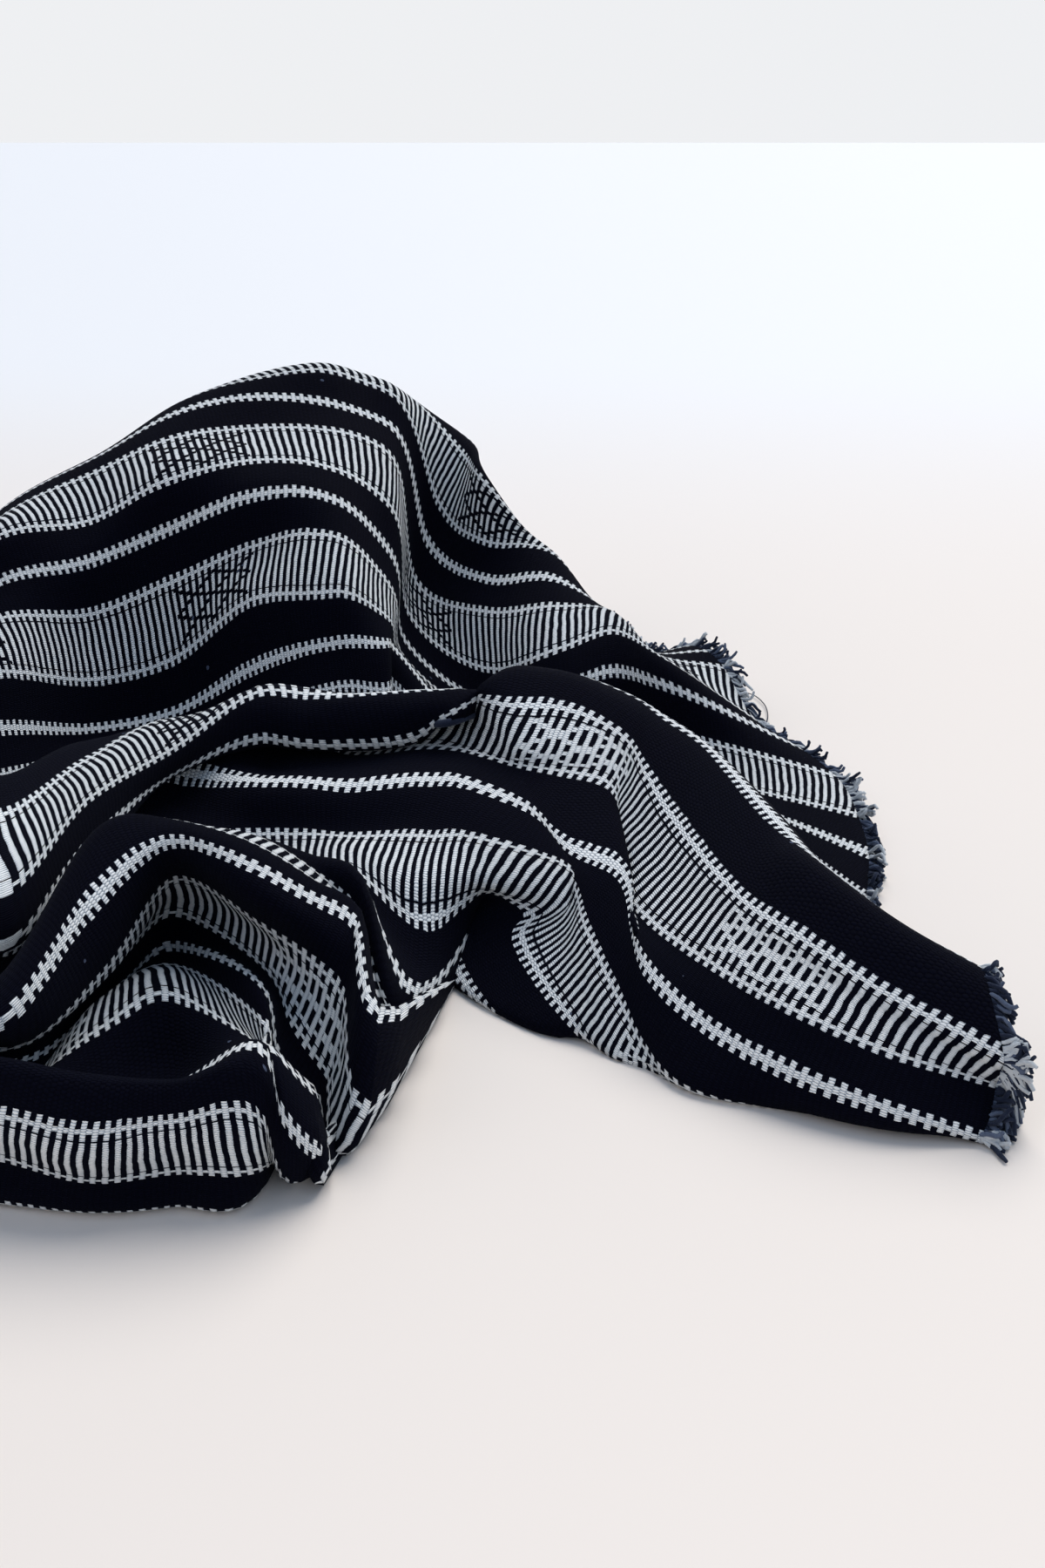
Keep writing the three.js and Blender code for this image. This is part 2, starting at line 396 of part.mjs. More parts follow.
// A comb of warp tufts along one cut end: a narrow band with a tooth at every second step.
function makeFringe(name, end, from, to, outward, material) {
  const steps = Math.round((to - from) / TUFT_PITCH) * 2 + 1;
  const across = Array.from({ length: steps + 1 }, (unused, i) => from + ((to - from) * i) / steps);
  const inner = end === 0 ? 1 : CLOTH_LENGTH - 1;
  const along = end === 0 ? [end, inner] : [inner, end];
  const rows = middleSurface(along, across);
  const normals = surfaceNormals(rows)[end === 0 ? 0 : 1];
  const edge = rows[end === 0 ? 0 : 1];
  const reach = [FRINGE_GAP, FRINGE_GAP + FRINGE_BAND, FRINGE_GAP + FRINGE_LENGTH];
  const out = new THREE.Vector3(outward.x, outward.y, 0).normalize();
  const side = (sign) => reach.map((distance) => edge.map((point, j) => {
    const moved = point.clone().addScaledVector(out, distance)
      .addScaledVector(normals[j], (sign * FRINGE_THICKNESS) / 2);
    moved.z = Math.max(moved.z, 0);
    return moved;
  }));
  const isTooth = (i, j) => i === 0 || j % 2 === 0;
  const flip = end === 0 ? -1 : 1;
  return namedMesh(name, shellBetween(side(flip), side(-flip), isTooth), material);
}

const cloth = new THREE.Group();
cloth.name = "handwoven_cloth";
cloth.add(makeCloth());
cloth.add(makeFringe("fringe_rear", 0, 186, 402, { x: 0.97, y: -0.24 }, rearFringeCotton));
cloth.add(makeFringe("fringe_front", CLOTH_LENGTH, 8, 92, { x: 0.98, y: -0.2 }, frontFringeCotton));

export default cloth;
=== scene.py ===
import math
import random

import bmesh
import bpy
import numpy as np
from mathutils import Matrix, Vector


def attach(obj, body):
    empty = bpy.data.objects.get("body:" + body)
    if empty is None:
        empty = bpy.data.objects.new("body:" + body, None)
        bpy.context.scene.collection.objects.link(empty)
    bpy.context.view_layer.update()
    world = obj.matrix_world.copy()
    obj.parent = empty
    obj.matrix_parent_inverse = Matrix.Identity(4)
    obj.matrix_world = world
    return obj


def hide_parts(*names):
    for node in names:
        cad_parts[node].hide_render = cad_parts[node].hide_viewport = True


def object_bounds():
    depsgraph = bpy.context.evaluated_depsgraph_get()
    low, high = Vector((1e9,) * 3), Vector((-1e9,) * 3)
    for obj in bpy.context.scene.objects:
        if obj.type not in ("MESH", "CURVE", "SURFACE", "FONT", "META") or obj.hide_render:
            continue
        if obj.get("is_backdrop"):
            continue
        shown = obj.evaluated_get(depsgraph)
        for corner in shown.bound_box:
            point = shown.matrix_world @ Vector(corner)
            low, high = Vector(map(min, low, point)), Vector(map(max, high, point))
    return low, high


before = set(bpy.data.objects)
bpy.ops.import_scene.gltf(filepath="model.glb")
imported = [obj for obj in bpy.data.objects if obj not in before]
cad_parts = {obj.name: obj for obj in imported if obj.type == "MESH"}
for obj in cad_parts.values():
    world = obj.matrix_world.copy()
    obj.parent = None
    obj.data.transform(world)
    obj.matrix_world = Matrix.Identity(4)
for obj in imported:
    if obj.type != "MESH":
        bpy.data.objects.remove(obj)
packed_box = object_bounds()

# A handwoven cotton cloth, navy with white warp stripes, that lies in a soft heap with a hill,
# a ring of standing cloth and a narrowing tail, and has a short fringe at each cut end.

# Sizes of the cloth, in millimetres
CLOTH_WIDTH = 408
CLOTH_LENGTH = 1000
THICKNESS = 2
REST_HEIGHT = THICKNESS / 2
MM = 0.001
MM_PER_METRE = 1000

# The middle of the heap's footprint, in the sections' own x and y
MIDDLE = (-83.1, 520.3)

# Standing folds where the strip turns back, in millimetres along and across
GATHER_HEIGHT = 21
GATHER_PITCH = 68
GATHERS_RISE = (372, 428)
GATHERS_FALL = (528, 622)

# Sizes of the weave, in millimetres: a pick is one row of warp floats,
# and two picks make a white and a navy bar
PICK = 1.53
FLOAT_WIDTH = 0.72

# Places across of the first thin line and the first wide band, and how far apart the next ones are
LINE_AT = 15
BAND_AT = 46.5
STRIPE_PITCH = 63

# Half widths from the middle of a thin line, and then from the middle of a wide band
LINE_SOLID = 1.0
LINE_TICKS = 2.8
LADDER = 9.7
INNER_TICKS = 10.2
SOLID_FROM = 12.1
SOLID_TO = 13.4
OUTER_TICKS = 15.3

# Unevenness of the weave: noise scales per metre, and how far each noise moves the rows along
# and the threads across, in millimetres
DRIFT = {"scale": 90.0, "along": 1.3}
SWAY = {"scale": 260.0, "across": 0.9}
FRAY = {"scale": 1500.0, "along": 0.28, "across": 0.22}

# Unevenness of the yarn: worn places, slubs, specks of lint and fuzz, with heights as shares of
# a float's, and a float's own height in metres
WEAR = {"scale": 14.0, "specks_above": 0.47}
SLUB = {"length": 40, "per_mm": 2.2, "height": 0.2}
SPECKS = {"scale": 62.0, "size": 0.045}
FUZZ = {"scale": 2600.0, "height": 0.3}
FLOAT_HEIGHT = 0.0004

# Crossed motifs in the ladders, in millimetres: their places along for each band from the far
# edge, half their length, how far their lines move across at each pick, half a line's width,
# and how many such moves lie between the cross and the lozenge round it
MOTIFS_AT = {
    1: (70, 190, 310, 430, 550, 665, 785, 903, 1012),
    2: (40, 165, 290, 410, 525, 640, 1004),
    3: (-10, 121, 420, 540, 655, 775, 895, 1010),
    4: (30, 150, 274, 395, 505, 620, 735, 850, 965),
    5: (45, 165, 278, 395, 510, 630, 750, 870, 990),
    6: (0, 120, 235, 355, 470, 590, 705, 940, 1060),
}
MOTIF_HALF = 18.5
MOTIF_STEP = 0.78
MOTIF_LINE = 0.8
LOZENGE_STEPS = 12

# The loose warp thread by the rear end, in millimetres in the model's frame:
# rows of length so far, x, y and z
LOOSE_THREAD = (
    (0, 134, 131, 10),
    (14, 148, 142, 8),
    (24, 158, 145, 6),
    (34, 166, 139, 4),
    (47, 170, 128, 2),
    (65, 173, 110, 1),
    (74, 178, 103, 1),
    (82, 180, 95, 1),
    (97, 180, 80, 1),
    (112, 177, 66, 1),
)

# How far the weave may stretch over one cell, and how much its bars keep square to the threads
MOST_STRETCH = 1.7
SQUARENESS = 0.6

# How finely the cloth is divided along and across
CELLS_ALONG = 300
CELLS_ACROSS = 156

# Cut warp threads, in metres: least and most length and curl, radius and lowest height,
# and then their thickness from root to tip as shares of the radius
FRAYED_LENGTH = (0.0078, 0.0100)
FRAYED_CURL = (0.0010, 0.0024)
FRAYED_RADIUS = 0.0005
FRAYED_LOWEST = 0.0008
FRAYED = [0.85, 1.0, 1.1, 1.15, 1.2, 1.15, 0.9]

# Where they stand, in millimetres: from the selvedges, and apart at the rear and the front end,
# and how far inward of an end the cloth's direction is taken
FRAYED_EDGE = 0.6
REAR_SPACING = 0.5
FRONT_SPACING = 0.36
FRAYED_INWARD = 4

# How they lie, as shares of their length: least and most lift at the root and droop at the tip,
# lean sideways and how much the lean differs, and how the lean waves along the end in tufts,
# each wave with its turn per millimetre and its strength
FRAYED_LIFT = (-0.25, 0.75)
FRAYED_DROOP = (0.1, 0.9)
FRAYED_LEAN = 0.5
FRAYED_DIFFER = 0.6
FINE_TUFTS = {"turn": 0.83, "strength": 0.6}
WIDE_TUFTS = {"turn": 0.29, "strength": 0.5}

# Shares of the threads that stay white in a white stripe, and that are faded among the others,
# and the loose thread's thickness as a share of theirs
FRAYED_WHITE = 0.65
FRAYED_FADED = 0.35
LOOSE_RADIUS = 0.42

# The loose threads' yarns, each from dark to pale, in the order in which the meshes hold them
YARN_COLOURS = {
    "navy": ((0.004, 0.005, 0.012, 1), (0.035, 0.045, 0.08, 1)),
    "faded": ((0.03, 0.04, 0.075, 1), (0.17, 0.21, 0.30, 1)),
    "white": ((0.42, 0.46, 0.50, 1), (0.72, 0.74, 0.75, 1)),
}
YARN = {name: number for number, name in enumerate(YARN_COLOURS)}

# The floor: half its side and where its far colour is reached, in metres, and its colours; the far colour is
# painted light, a paler and cooler floor away from the cloth
FLOOR_HALF = 40
FLOOR_FADES_BY = 1.3
FLOOR_NEAR = (0.87, 0.785, 0.715, 1)
FLOOR_NEAR_PALE = (0.885, 0.805, 0.735, 1)
# Painted light: the floor far behind the cloth, paler and cooler
FLOOR_FAR_PAINTED_LIGHT = (0.90, 0.90, 0.91, 1)

# The sky: its colour near the horizon and higher up, and the heights between which it changes
SKY_LOW = (0.86, 0.87, 0.89, 1)
SKY_HIGH = (0.27, 0.36, 0.50, 1)
SKY_CHANGES = (0.1, 0.42)

# The camera: its place in metres, how far down it looks in degrees, and its lens in millimetres
CAMERA_AT = (0.0831, -0.5203, 0.214)
CAMERA_DOWN = 22
FOCAL_LENGTH = 37

# The selvedges' rolled rims, in metres
RIM_RADIUS = 0.0014
RIM_LOWEST = 0.0016

# How the cloth lies: for each section along it, bends as rows of place across, x, y and height
SECTIONS = [
    ["rear end", 0, [
        [0, 34, 742, 1], [60, 44, 712, 1], [120, 52, 675, 3], [150, 58, 650, 9], [190, 69, 614, 24],
        [222, 77, 591, 23], [250, 88, 566, 9], [267, 100, 549, 6], [285, 109, 524, 5], [312, 111, 490, 4],
        [330, 109, 462, 3], [348, 103, 434, 2], [377, 100, 412, 1], [408, 97, 396, 1]]],
    ["rear apron", 42, [
        [0, 28, 745, 1], [60, 32, 715, 1], [120, 36, 680, 3], [160, 42, 645, 11], [200, 46, 612, 24],
        [235, 50, 586, 30], [255, 52, 572, 31], [267, 52, 566, 25], [285, 56, 558, 9], [300, 60, 546, 2],
        [330, 74, 508, 1], [348, 78, 490, 1], [377, 82, 462, 1], [408, 86, 430, 1]]],
    ["low shoulder", 70, [
        [0, 14, 748, 1], [60, 18, 718, 2], [120, 24, 684, 8], [170, 30, 650, 24], [210, 34, 628, 35],
        [235, 35, 614, 37], [249, 35, 602, 34], [267, 34, 587, 23], [285, 36, 576, 9], [300, 38, 564, 2],
        [330, 46, 532, 1], [348, 50, 514, 1], [377, 54, 486, 1], [408, 58, 456, 1]]],
    ["shoulder", 95, [
        [0, -2, 752, 1], [60, 2, 722, 5], [110, 6, 694, 22], [150, 10, 668, 42], [188, 14, 650, 51],
        [204, 14, 635, 46], [222, 14, 618, 40], [249, 13, 593, 29], [267, 13, 580, 18], [285, 14, 568, 7],
        [300, 16, 554, 1], [330, 22, 528, 1], [348, 26, 512, 1], [377, 30, 486, 1], [408, 32, 458, 1]]],
    ["high shoulder", 132, [
        [0, -28, 756, 1], [40, -25, 745, 7], [80, -22, 726, 34], [120, -18, 700, 64], [156, -15, 672, 79],
        [188, -15, 663, 53], [204, -14, 651, 42], [222, -14, 636, 33], [249, -14, 617, 14],
        [267, -14, 605, 4], [285, -13, 590, 1], [330, -11, 548, 1], [348, -10, 532, 1], [377, -9, 506, 1],
        [408, -8, 476, 1]]],
    ["valley", 175, [
        [0, -46, 758, 1], [35, -38, 750, 10], [70, -28, 744, 42], [100, -25, 733, 66], [130, -24, 720, 86],
        [157, -26, 702, 87], [180, -34, 690, 70], [204, -41, 680, 52], [222, -46, 668, 38],
        [249, -48, 648, 28], [267, -49, 632, 22], [300, -48, 608, 20], [330, -48, 588, 30],
        [355, -47, 573, 16], [375, -46, 558, 3], [408, -44, 528, 1]]],
    ["hill, right", 216, [
        [0, -72, 758, 1], [35, -68, 750, 9], [70, -64, 748, 44], [100, -61, 742, 72], [140, -58, 722, 104],
        [165, -57, 708, 113], [180, -56, 699, 113], [204, -56, 682, 100], [222, -56, 666, 92],
        [249, -55, 645, 75], [267, -55, 633, 60], [285, -55, 617, 52], [312, -55, 595, 44],
        [330, -55, 581, 36], [355, -54, 565, 17], [375, -53, 552, 3], [408, -52, 520, 1]]],
    ["hill, nose", 230, [
        [0, -88, 757, 1], [35, -84, 747, 8], [70, -80, 747, 40], [100, -76, 742, 70], [140, -72, 722, 106],
        [165, -70, 708, 117], [180, -69, 700, 118], [204, -69, 680, 106], [222, -68, 663, 99],
        [249, -67, 640, 86], [267, -67, 624, 77], [285, -67, 609, 68], [312, -66, 588, 53],
        [330, -66, 580, 37], [355, -66, 567, 18], [375, -65, 554, 3], [408, -64, 522, 1]]],
    ["hill, top", 244, [
        [0, -104, 756, 1], [35, -99, 745, 7], [70, -94, 746, 40], [100, -90, 741, 72], [140, -86, 722, 109],
        [165, -84, 707, 121], [182, -82, 695, 122], [204, -82, 678, 110], [222, -82, 661, 102],
        [249, -81, 636, 92], [267, -80, 620, 84], [285, -80, 607, 72], [312, -79, 587, 53],
        [330, -79, 579, 35], [355, -79, 564, 16], [375, -78, 552, 3], [408, -77, 520, 1]]],
    ["hill, middle", 268, [
        [0, -130, 752, 1], [35, -126, 740, 6], [70, -120, 742, 38], [100, -115, 736, 72],
        [140, -111, 716, 109], [160, -110, 702, 118], [176, -109, 690, 120], [204, -108, 673, 113],
        [222, -107, 658, 103], [249, -105, 633, 94], [267, -104, 618, 84], [285, -104, 613, 66],
        [312, -102, 593, 49], [330, -101, 584, 26], [350, -100, 570, 9], [365, -99, 557, 2],
        [408, -97, 516, 1]]],
    ["hill, left", 301, [
        [0, -160, 742, 1], [40, -156, 728, 6], [80, -150, 728, 42], [120, -145, 712, 80],
        [160, -141, 688, 104], [185, -140, 671, 111], [200, -139, 660, 110], [222, -138, 639, 102],
        [249, -136, 614, 90], [267, -136, 610, 73], [285, -136, 605, 54], [312, -134, 596, 25],
        [330, -133, 586, 7], [348, -131, 570, 2], [408, -126, 506, 1]]],
    ["hill, low", 333, [
        [0, -194, 724, 1], [50, -188, 709, 6], [90, -181, 704, 40], [130, -176, 690, 72],
        [170, -171, 668, 89], [198, -169, 650, 94], [215, -168, 640, 92], [249, -166, 611, 75],
        [267, -165, 598, 63], [285, -165, 592, 45], [312, -163, 578, 22], [330, -162, 569, 6],
        [348, -160, 553, 2], [408, -154, 488, 1]]],
    ["hill, foot", 364, [
        [0, -226, 706, 1], [60, -219, 690, 8], [100, -214, 686, 34], [140, -208, 670, 60],
        [180, -203, 648, 76], [205, -200, 630, 79], [220, -198, 620, 78], [249, -195, 591, 74],
        [267, -193, 581, 60], [285, -191, 566, 50], [312, -188, 543, 36], [330, -186, 531, 20],
        [350, -184, 515, 7], [370, -182, 500, 1], [408, -178, 462, 1]]],
    ["turn, going in", 396, [
        [0, -252, 680, 1], [70, -244, 660, 9], [110, -239, 650, 28], [150, -233, 634, 46],
        [190, -228, 612, 56], [220, -225, 592, 57], [249, -222, 570, 51], [267, -220, 558, 43],
        [285, -218, 546, 36], [312, -214, 528, 25], [330, -211, 514, 15], [350, -208, 498, 6],
        [370, -206, 482, 1], [408, -202, 440, 1]]],
    ["turn, lower", 442, [
        [0, -270, 632, 1], [80, -261, 604, 10], [120, -256, 590, 20], [180, -249, 560, 30],
        [249, -239, 520, 27], [330, -226, 462, 11], [370, -220, 432, 3], [408, -214, 402, 1]]],
    ["turn, edge below", 468, [
        [0, -284, 588, 8], [40, -281, 579, 8], [80, -276, 567, 8], [120, -270, 551, 9], [180, -263, 518, 11],
        [249, -254, 478, 12], [330, -242, 422, 8], [370, -236, 392, 5], [408, -230, 359, 2]]],
    ["turn, edge above", 486, [
        [0, -286, 577, 24], [40, -283, 569, 23], [80, -278, 558, 23], [120, -271, 540, 24],
        [180, -265, 506, 27], [249, -255, 465, 28], [330, -243, 409, 23], [370, -237, 379, 19],
        [408, -231, 346, 15]]],
    ["turn, upper", 510, [
        [0, -252, 524, 58], [20, -257, 533, 53], [45, -260, 540, 45], [80, -257, 532, 36],
        [120, -248, 506, 35], [180, -238, 474, 39], [249, -228, 436, 39], [300, -220, 402, 34],
        [340, -214, 374, 26], [375, -208, 350, 17], [408, -204, 328, 11]]],
    ["turn, coming back", 580, [
        [0, -178, 418, 60], [20, -186, 434, 66], [45, -195, 452, 64], [75, -200, 464, 52],
        [94, -197, 458, 41], [125, -190, 436, 34], [157, -182, 410, 35], [192, -174, 383, 42],
        [204, -172, 375, 41], [230, -168, 358, 32], [267, -164, 338, 24], [300, -160, 322, 22],
        [330, -156, 308, 27], [346, -154, 300, 22], [377, -153, 296, 8], [393, -152, 295, 2],
        [408, -152, 306, 1]]],
    ["roll, left", 650, [
        [0, -127, 352, 35], [7, -124, 341, 34], [15, -122, 336, 38], [31, -123, 342, 46], [62, -135, 382, 52],
        [75, -141, 405, 52], [84, -142, 410, 45], [94, -139, 400, 37], [125, -131, 370, 28],
        [157, -123, 340, 26], [175, -118, 322, 34], [192, -114, 309, 42], [204, -112, 300, 38],
        [215, -111, 305, 31], [240, -113, 318, 24], [260, -114, 322, 18], [280, -113, 317, 13],
        [310, -111, 306, 17],
        [330, -110, 296, 30], [338, -110, 291, 33], [346, -109, 287, 26], [377, -112, 290, 10],
        [393, -112, 287, 2], [408, -112, 300, 1]]],
    ["ring, left", 685, [
        [0, -115, 400, 38], [7, -113, 389, 37], [15, -114, 384, 42], [31, -115, 394, 49], [62, -122, 423, 51],
        [72, -127, 440, 49], [80, -129, 446, 43], [88, -127, 440, 36], [94, -123, 425, 32],
        [110, -119, 405, 26], [141, -112, 382, 33], [172, -106, 366, 48], [195, -103, 357, 54],
        [204, -102, 340, 46], [212, -100, 336, 38], [225, -99, 342, 29], [248, -101, 353, 25],
        [260, -102, 354, 18], [272, -102, 347, 16], [288, -101, 338, 21], [314, -98, 325, 19],
        [328, -94, 306, 16],
        [334, -92, 296, 26], [338, -91, 289, 31], [346, -90, 284, 24], [377, -91, 285, 8],
        [393, -91, 284, 2], [408, -92, 300, 1]]],
    ["ring, hood", 714, [
        [0, -106, 449, 43], [7, -103, 443, 39], [15, -103, 440, 40], [31, -101, 439, 47], [46, -103, 447, 51],
        [62, -105, 458, 49], [70, -106, 463, 43], [76, -105, 460, 35], [84, -103, 446, 28],
        [94, -98, 428, 26], [110, -95, 410, 23], [125, -93, 396, 28], [141, -91, 388, 36],
        [172, -89, 375, 50], [192, -88, 367, 55], [204, -86, 361, 53], [212, -86, 362, 48],
        [228, -88, 373, 36], [246, -90, 380, 26], [258, -91, 380, 19], [272, -90, 370, 16],
        [288, -87, 356, 20], [300, -85, 347, 23], [314, -83, 335, 22], [328, -77, 313, 14],
        [334, -74, 299, 22], [338, -73, 290, 29], [346, -73, 287, 24], [377, -74, 288, 8],
        [393, -75, 286, 2], [408, -76, 302, 1]]],
    ["ring, middle", 739, [
        [0, -79, 474, 43], [7, -80, 466, 39], [15, -80, 464, 42], [28, -80, 468, 51], [38, -80, 476, 54],
        [46, -79, 484, 50], [54, -79, 486, 43], [62, -79, 478, 34], [70, -79, 462, 32], [78, -78, 444, 35],
        [94, -75, 430, 26], [110, -73, 417, 22], [125, -71, 401, 28], [141, -68, 384, 42],
        [160, -66, 372, 48], [180, -65, 362, 51], [204, -63, 350, 50], [212, -62, 344, 46],
        [220, -62, 348, 38], [235, -62, 355, 29], [248, -62, 350, 22], [258, -61, 341, 22],
        [267, -61, 333, 26], [285, -59, 323, 24], [302, -58, 316, 21], [314, -57, 310, 24],
        [326, -56, 301, 31], [338, -55, 291, 30], [346, -55, 289, 23], [377, -56, 290, 8],
        [393, -57, 292, 2], [408, -58, 304, 1]]],
    ["ring, lip end", 752, [
        [0, -68, 472, 43], [7, -68, 465, 39], [15, -68, 462, 41], [26, -67, 464, 49], [38, -67, 476, 53],
        [46, -67, 483, 48], [54, -66, 482, 40], [62, -66, 471, 35], [70, -66, 456, 34], [78, -65, 441, 36],
        [94, -62, 427, 27], [110, -60, 412, 25], [125, -59, 399, 28], [133, -57, 390, 32],
        [141, -55, 381, 39], [160, -54, 371, 40], [180, -53, 361, 43], [204, -52, 350, 43],
        [212, -51, 344, 39], [222, -52, 345, 31], [235, -53, 344, 23], [247, -55, 338, 17],
        [258, -57, 331, 14], [270, -58, 323, 15], [284, -58, 316, 20], [298, -57, 309, 26],
        [310, -55, 302, 30], [320, -53, 295, 29], [328, -51, 290, 23], [336, -50, 288, 15],
        [343, -50, 289, 8], [350, -51, 293, 3], [358, -52, 299, 1], [377, -53, 312, 1], [408, -52, 336, 1]]],
    ["ring, right", 766, [
        [0, -56, 471, 43], [7, -55, 464, 39], [15, -55, 461, 41], [24, -54, 462, 48], [31, -53, 467, 53],
        [38, -54, 476, 51], [46, -54, 482, 44], [56, -53, 475, 35], [66, -52, 458, 35], [78, -51, 438, 36],
        [94, -50, 424, 27], [110, -48, 408, 29], [125, -47, 395, 28], [133, -46, 388, 27],
        [141, -43, 379, 35], [150, -42, 371, 38], [163, -41, 367, 27], [178, -41, 361, 27],
        [195, -41, 356, 37], [204, -41, 350, 36], [212, -41, 343, 32], [220, -42, 338, 26],
        [235, -43, 331, 15], [250, -46, 326, 8], [264, -48, 321, 6], [280, -49, 316, 10],
        [296, -49, 310, 16], [308, -47, 304, 19], [318, -45, 298, 17], [326, -43, 295, 11],
        [334, -43, 296, 5], [342, -44, 300, 2], [352, -45, 307, 1], [377, -45, 322, 1],
        [408, -44, 346, 1]]],
    ["ring, end", 783, [
        [0, -36, 475, 44], [7, -34, 468, 40], [15, -33, 465, 42], [24, -32, 466, 50], [31, -32, 472, 53],
        [38, -31, 479, 51], [46, -31, 482, 44], [56, -31, 474, 37], [66, -31, 458, 37], [78, -32, 440, 37],
        [94, -31, 422, 29], [105, -31, 408, 27], [115, -30, 396, 25], [125, -26, 387, 14],
        [133, -26, 376, 9], [141, -28, 362, 10], [160, -29, 350, 7], [180, -30, 345, 8],
        [195, -30, 339, 17], [204, -30, 331, 22], [212, -30, 325, 17], [220, -31, 322, 9],
        [235, -33, 320, 3], [251, -35, 321, 1], [285, -37, 324, 3], [305, -38, 323, 5],
        [320, -38, 321, 3], [340, -36, 326, 1], [408, -28, 356, 1]]],
    ["neck", 790, [
        [0, -30, 471, 44], [8, -28, 468, 43], [15, -27, 466, 46], [24, -26, 468, 51], [31, -26, 473, 53],
        [38, -25, 479, 51], [46, -25, 482, 44], [56, -25, 473, 37], [66, -25, 458, 37], [78, -26, 440, 37],
        [94, -25, 421, 29], [105, -24, 408, 27], [115, -22, 398, 24], [125, -20, 395, 14],
        [133, -20, 388, 8], [141, -21, 381, 6], [150, -22, 375, 3], [158, -21, 377, 1], [204, -18, 388, 1],
        [251, -16, 398, 1], [300, -15, 406, 1], [350, -13, 416, 1], [408, -12, 428, 1]]],
    ["cave", 797, [
        [0, -23, 463, 47], [8, -21, 464, 48], [15, -20, 466, 50], [24, -19, 470, 52], [31, -19, 475, 53],
        [38, -19, 480, 50], [45, -19, 481, 44], [54, -19, 472, 37], [62, -19, 462, 37], [78, -20, 440, 37],
        [94, -18, 420, 30], [105, -15, 409, 27], [115, -13, 402, 23], [125, -12, 405, 18],
        [133, -13, 406, 14], [141, -14, 403, 10], [150, -15, 398, 4], [158, -15, 394, 1], [204, -13, 404, 1],
        [251, -11, 414, 1], [300, -9, 424, 1], [350, -7, 434, 1], [408, -5, 446, 1]]],
    ["cave, right", 809, [
        [0, -6, 491, 44], [8, -6, 489, 51], [16, -6, 484, 56], [24, -6, 476, 58], [31, -6, 467, 54],
        [46, -4, 454, 44], [62, -2, 447, 38], [78, 0, 428, 34], [94, 8, 404, 29], [105, 9, 397, 27],
        [113, 8, 392, 23], [122, 3, 394, 18], [131, -6, 399, 14], [141, -16, 401, 9], [149, -17, 396, 4],
        [157, -17, 390, 1], [204, -12, 402, 1], [300, -3, 424, 1], [408, 4, 448, 1]]],
    ["curl", 824, [
        [0, 8, 493, 43], [8, 8, 491, 50], [16, 8, 486, 56], [24, 9, 477, 57], [31, 10, 467, 53],
        [46, 10, 449, 44], [62, 10, 440, 38], [78, 10, 412, 30], [94, 14, 396, 26], [104, 13, 390, 21],
        [112, 10, 387, 17], [118, 5, 388, 14], [125, -3, 391, 11], [133, -12, 394, 8], [141, -19, 394, 5],
        [148, -21, 389, 2], [156, -18, 384, 1], [204, -8, 398, 1], [300, 8, 424, 1], [408, 18, 446, 1]]],
    ["hanging fold", 852, [
        [0, 36, 485, 38], [8, 34, 483, 46], [16, 33, 476, 51], [24, 32, 464, 51], [31, 31, 454, 47],
        [46, 29, 444, 42], [62, 26, 430, 36], [78, 27, 396, 28], [94, 18, 382, 20], [110, 14, 370, 12],
        [125, 10, 359, 4], [133, 3, 360, 1], [141, -7, 370, 1], [160, 1, 382, 1], [204, 14, 398, 1],
        [250, 24, 412, 1], [300, 32, 425, 1], [350, 38, 436, 1], [408, 44, 448, 1]]],
    ["fold, base", 875, [
        [0, 48, 466, 37], [7, 46, 466, 45], [16, 43, 459, 49], [24, 40, 449, 48], [31, 37, 437, 43],
        [46, 32, 424, 36], [62, 27, 408, 29], [70, 28, 393, 26], [78, 29, 378, 22], [86, 27, 370, 18],
        [94, 25, 362, 12], [102, 23, 355, 7], [110, 22, 349, 2], [118, 21, 349, 1], [125, 19, 354, 1],
        [133, 18, 360, 1], [141, 19, 367, 1], [160, 26, 378, 1], [204, 36, 394, 1], [250, 43, 408, 1],
        [290, 48, 419, 1], [302, 49, 421, 3], [314, 48, 418, 5], [360, 46, 410, 6], [408, 43, 400, 6]]],
    ["pinch", 899, [
        [0, 58, 447, 31], [6, 57, 450, 40], [15, 54, 444, 46], [24, 48, 434, 45], [31, 43, 420, 39],
        [46, 36, 402, 29], [62, 29, 386, 22], [70, 30, 374, 21], [78, 32, 360, 18], [86, 31, 353, 12],
        [94, 31, 346, 5], [102, 32, 341, 1], [140, 40, 358, 1], [200, 50, 384, 1], [250, 56, 402, 1],
        [262, 57, 405, 4], [274, 56, 401, 7], [340, 48, 376, 8], [408, 42, 358, 8]]],
    ["tail, wide", 930, [
        [0, 76, 412, 24], [6, 74, 410, 34], [15, 68, 402, 41], [24, 62, 388, 38], [31, 58, 374, 33],
        [46, 54, 362, 27], [62, 50, 350, 20], [70, 49, 344, 17], [78, 48, 338, 12], [86, 46, 333, 7],
        [94, 44, 329, 2], [102, 46, 331, 1], [140, 53, 344, 1], [200, 62, 366, 1], [250, 68, 382, 1],
        [262, 69, 385, 4], [274, 68, 381, 7], [340, 60, 360, 8], [408, 54, 346, 8]]],
    ["tail, middle", 951, [
        [0, 84, 392, 19], [6, 82, 389, 29], [15, 76, 382, 38], [24, 71, 371, 41], [31, 69, 355, 33],
        [46, 68, 344, 26], [62, 66, 332, 19], [70, 66, 328, 15], [78, 65, 323, 10], [86, 65, 321, 4],
        [94, 66, 323, 1], [140, 71, 340, 1], [200, 76, 358, 1], [250, 80, 371, 1], [262, 81, 374, 4],
        [274, 80, 370, 7], [340, 75, 352, 7], [408, 71, 338, 7]]],
    ["tail, narrow", 968, [
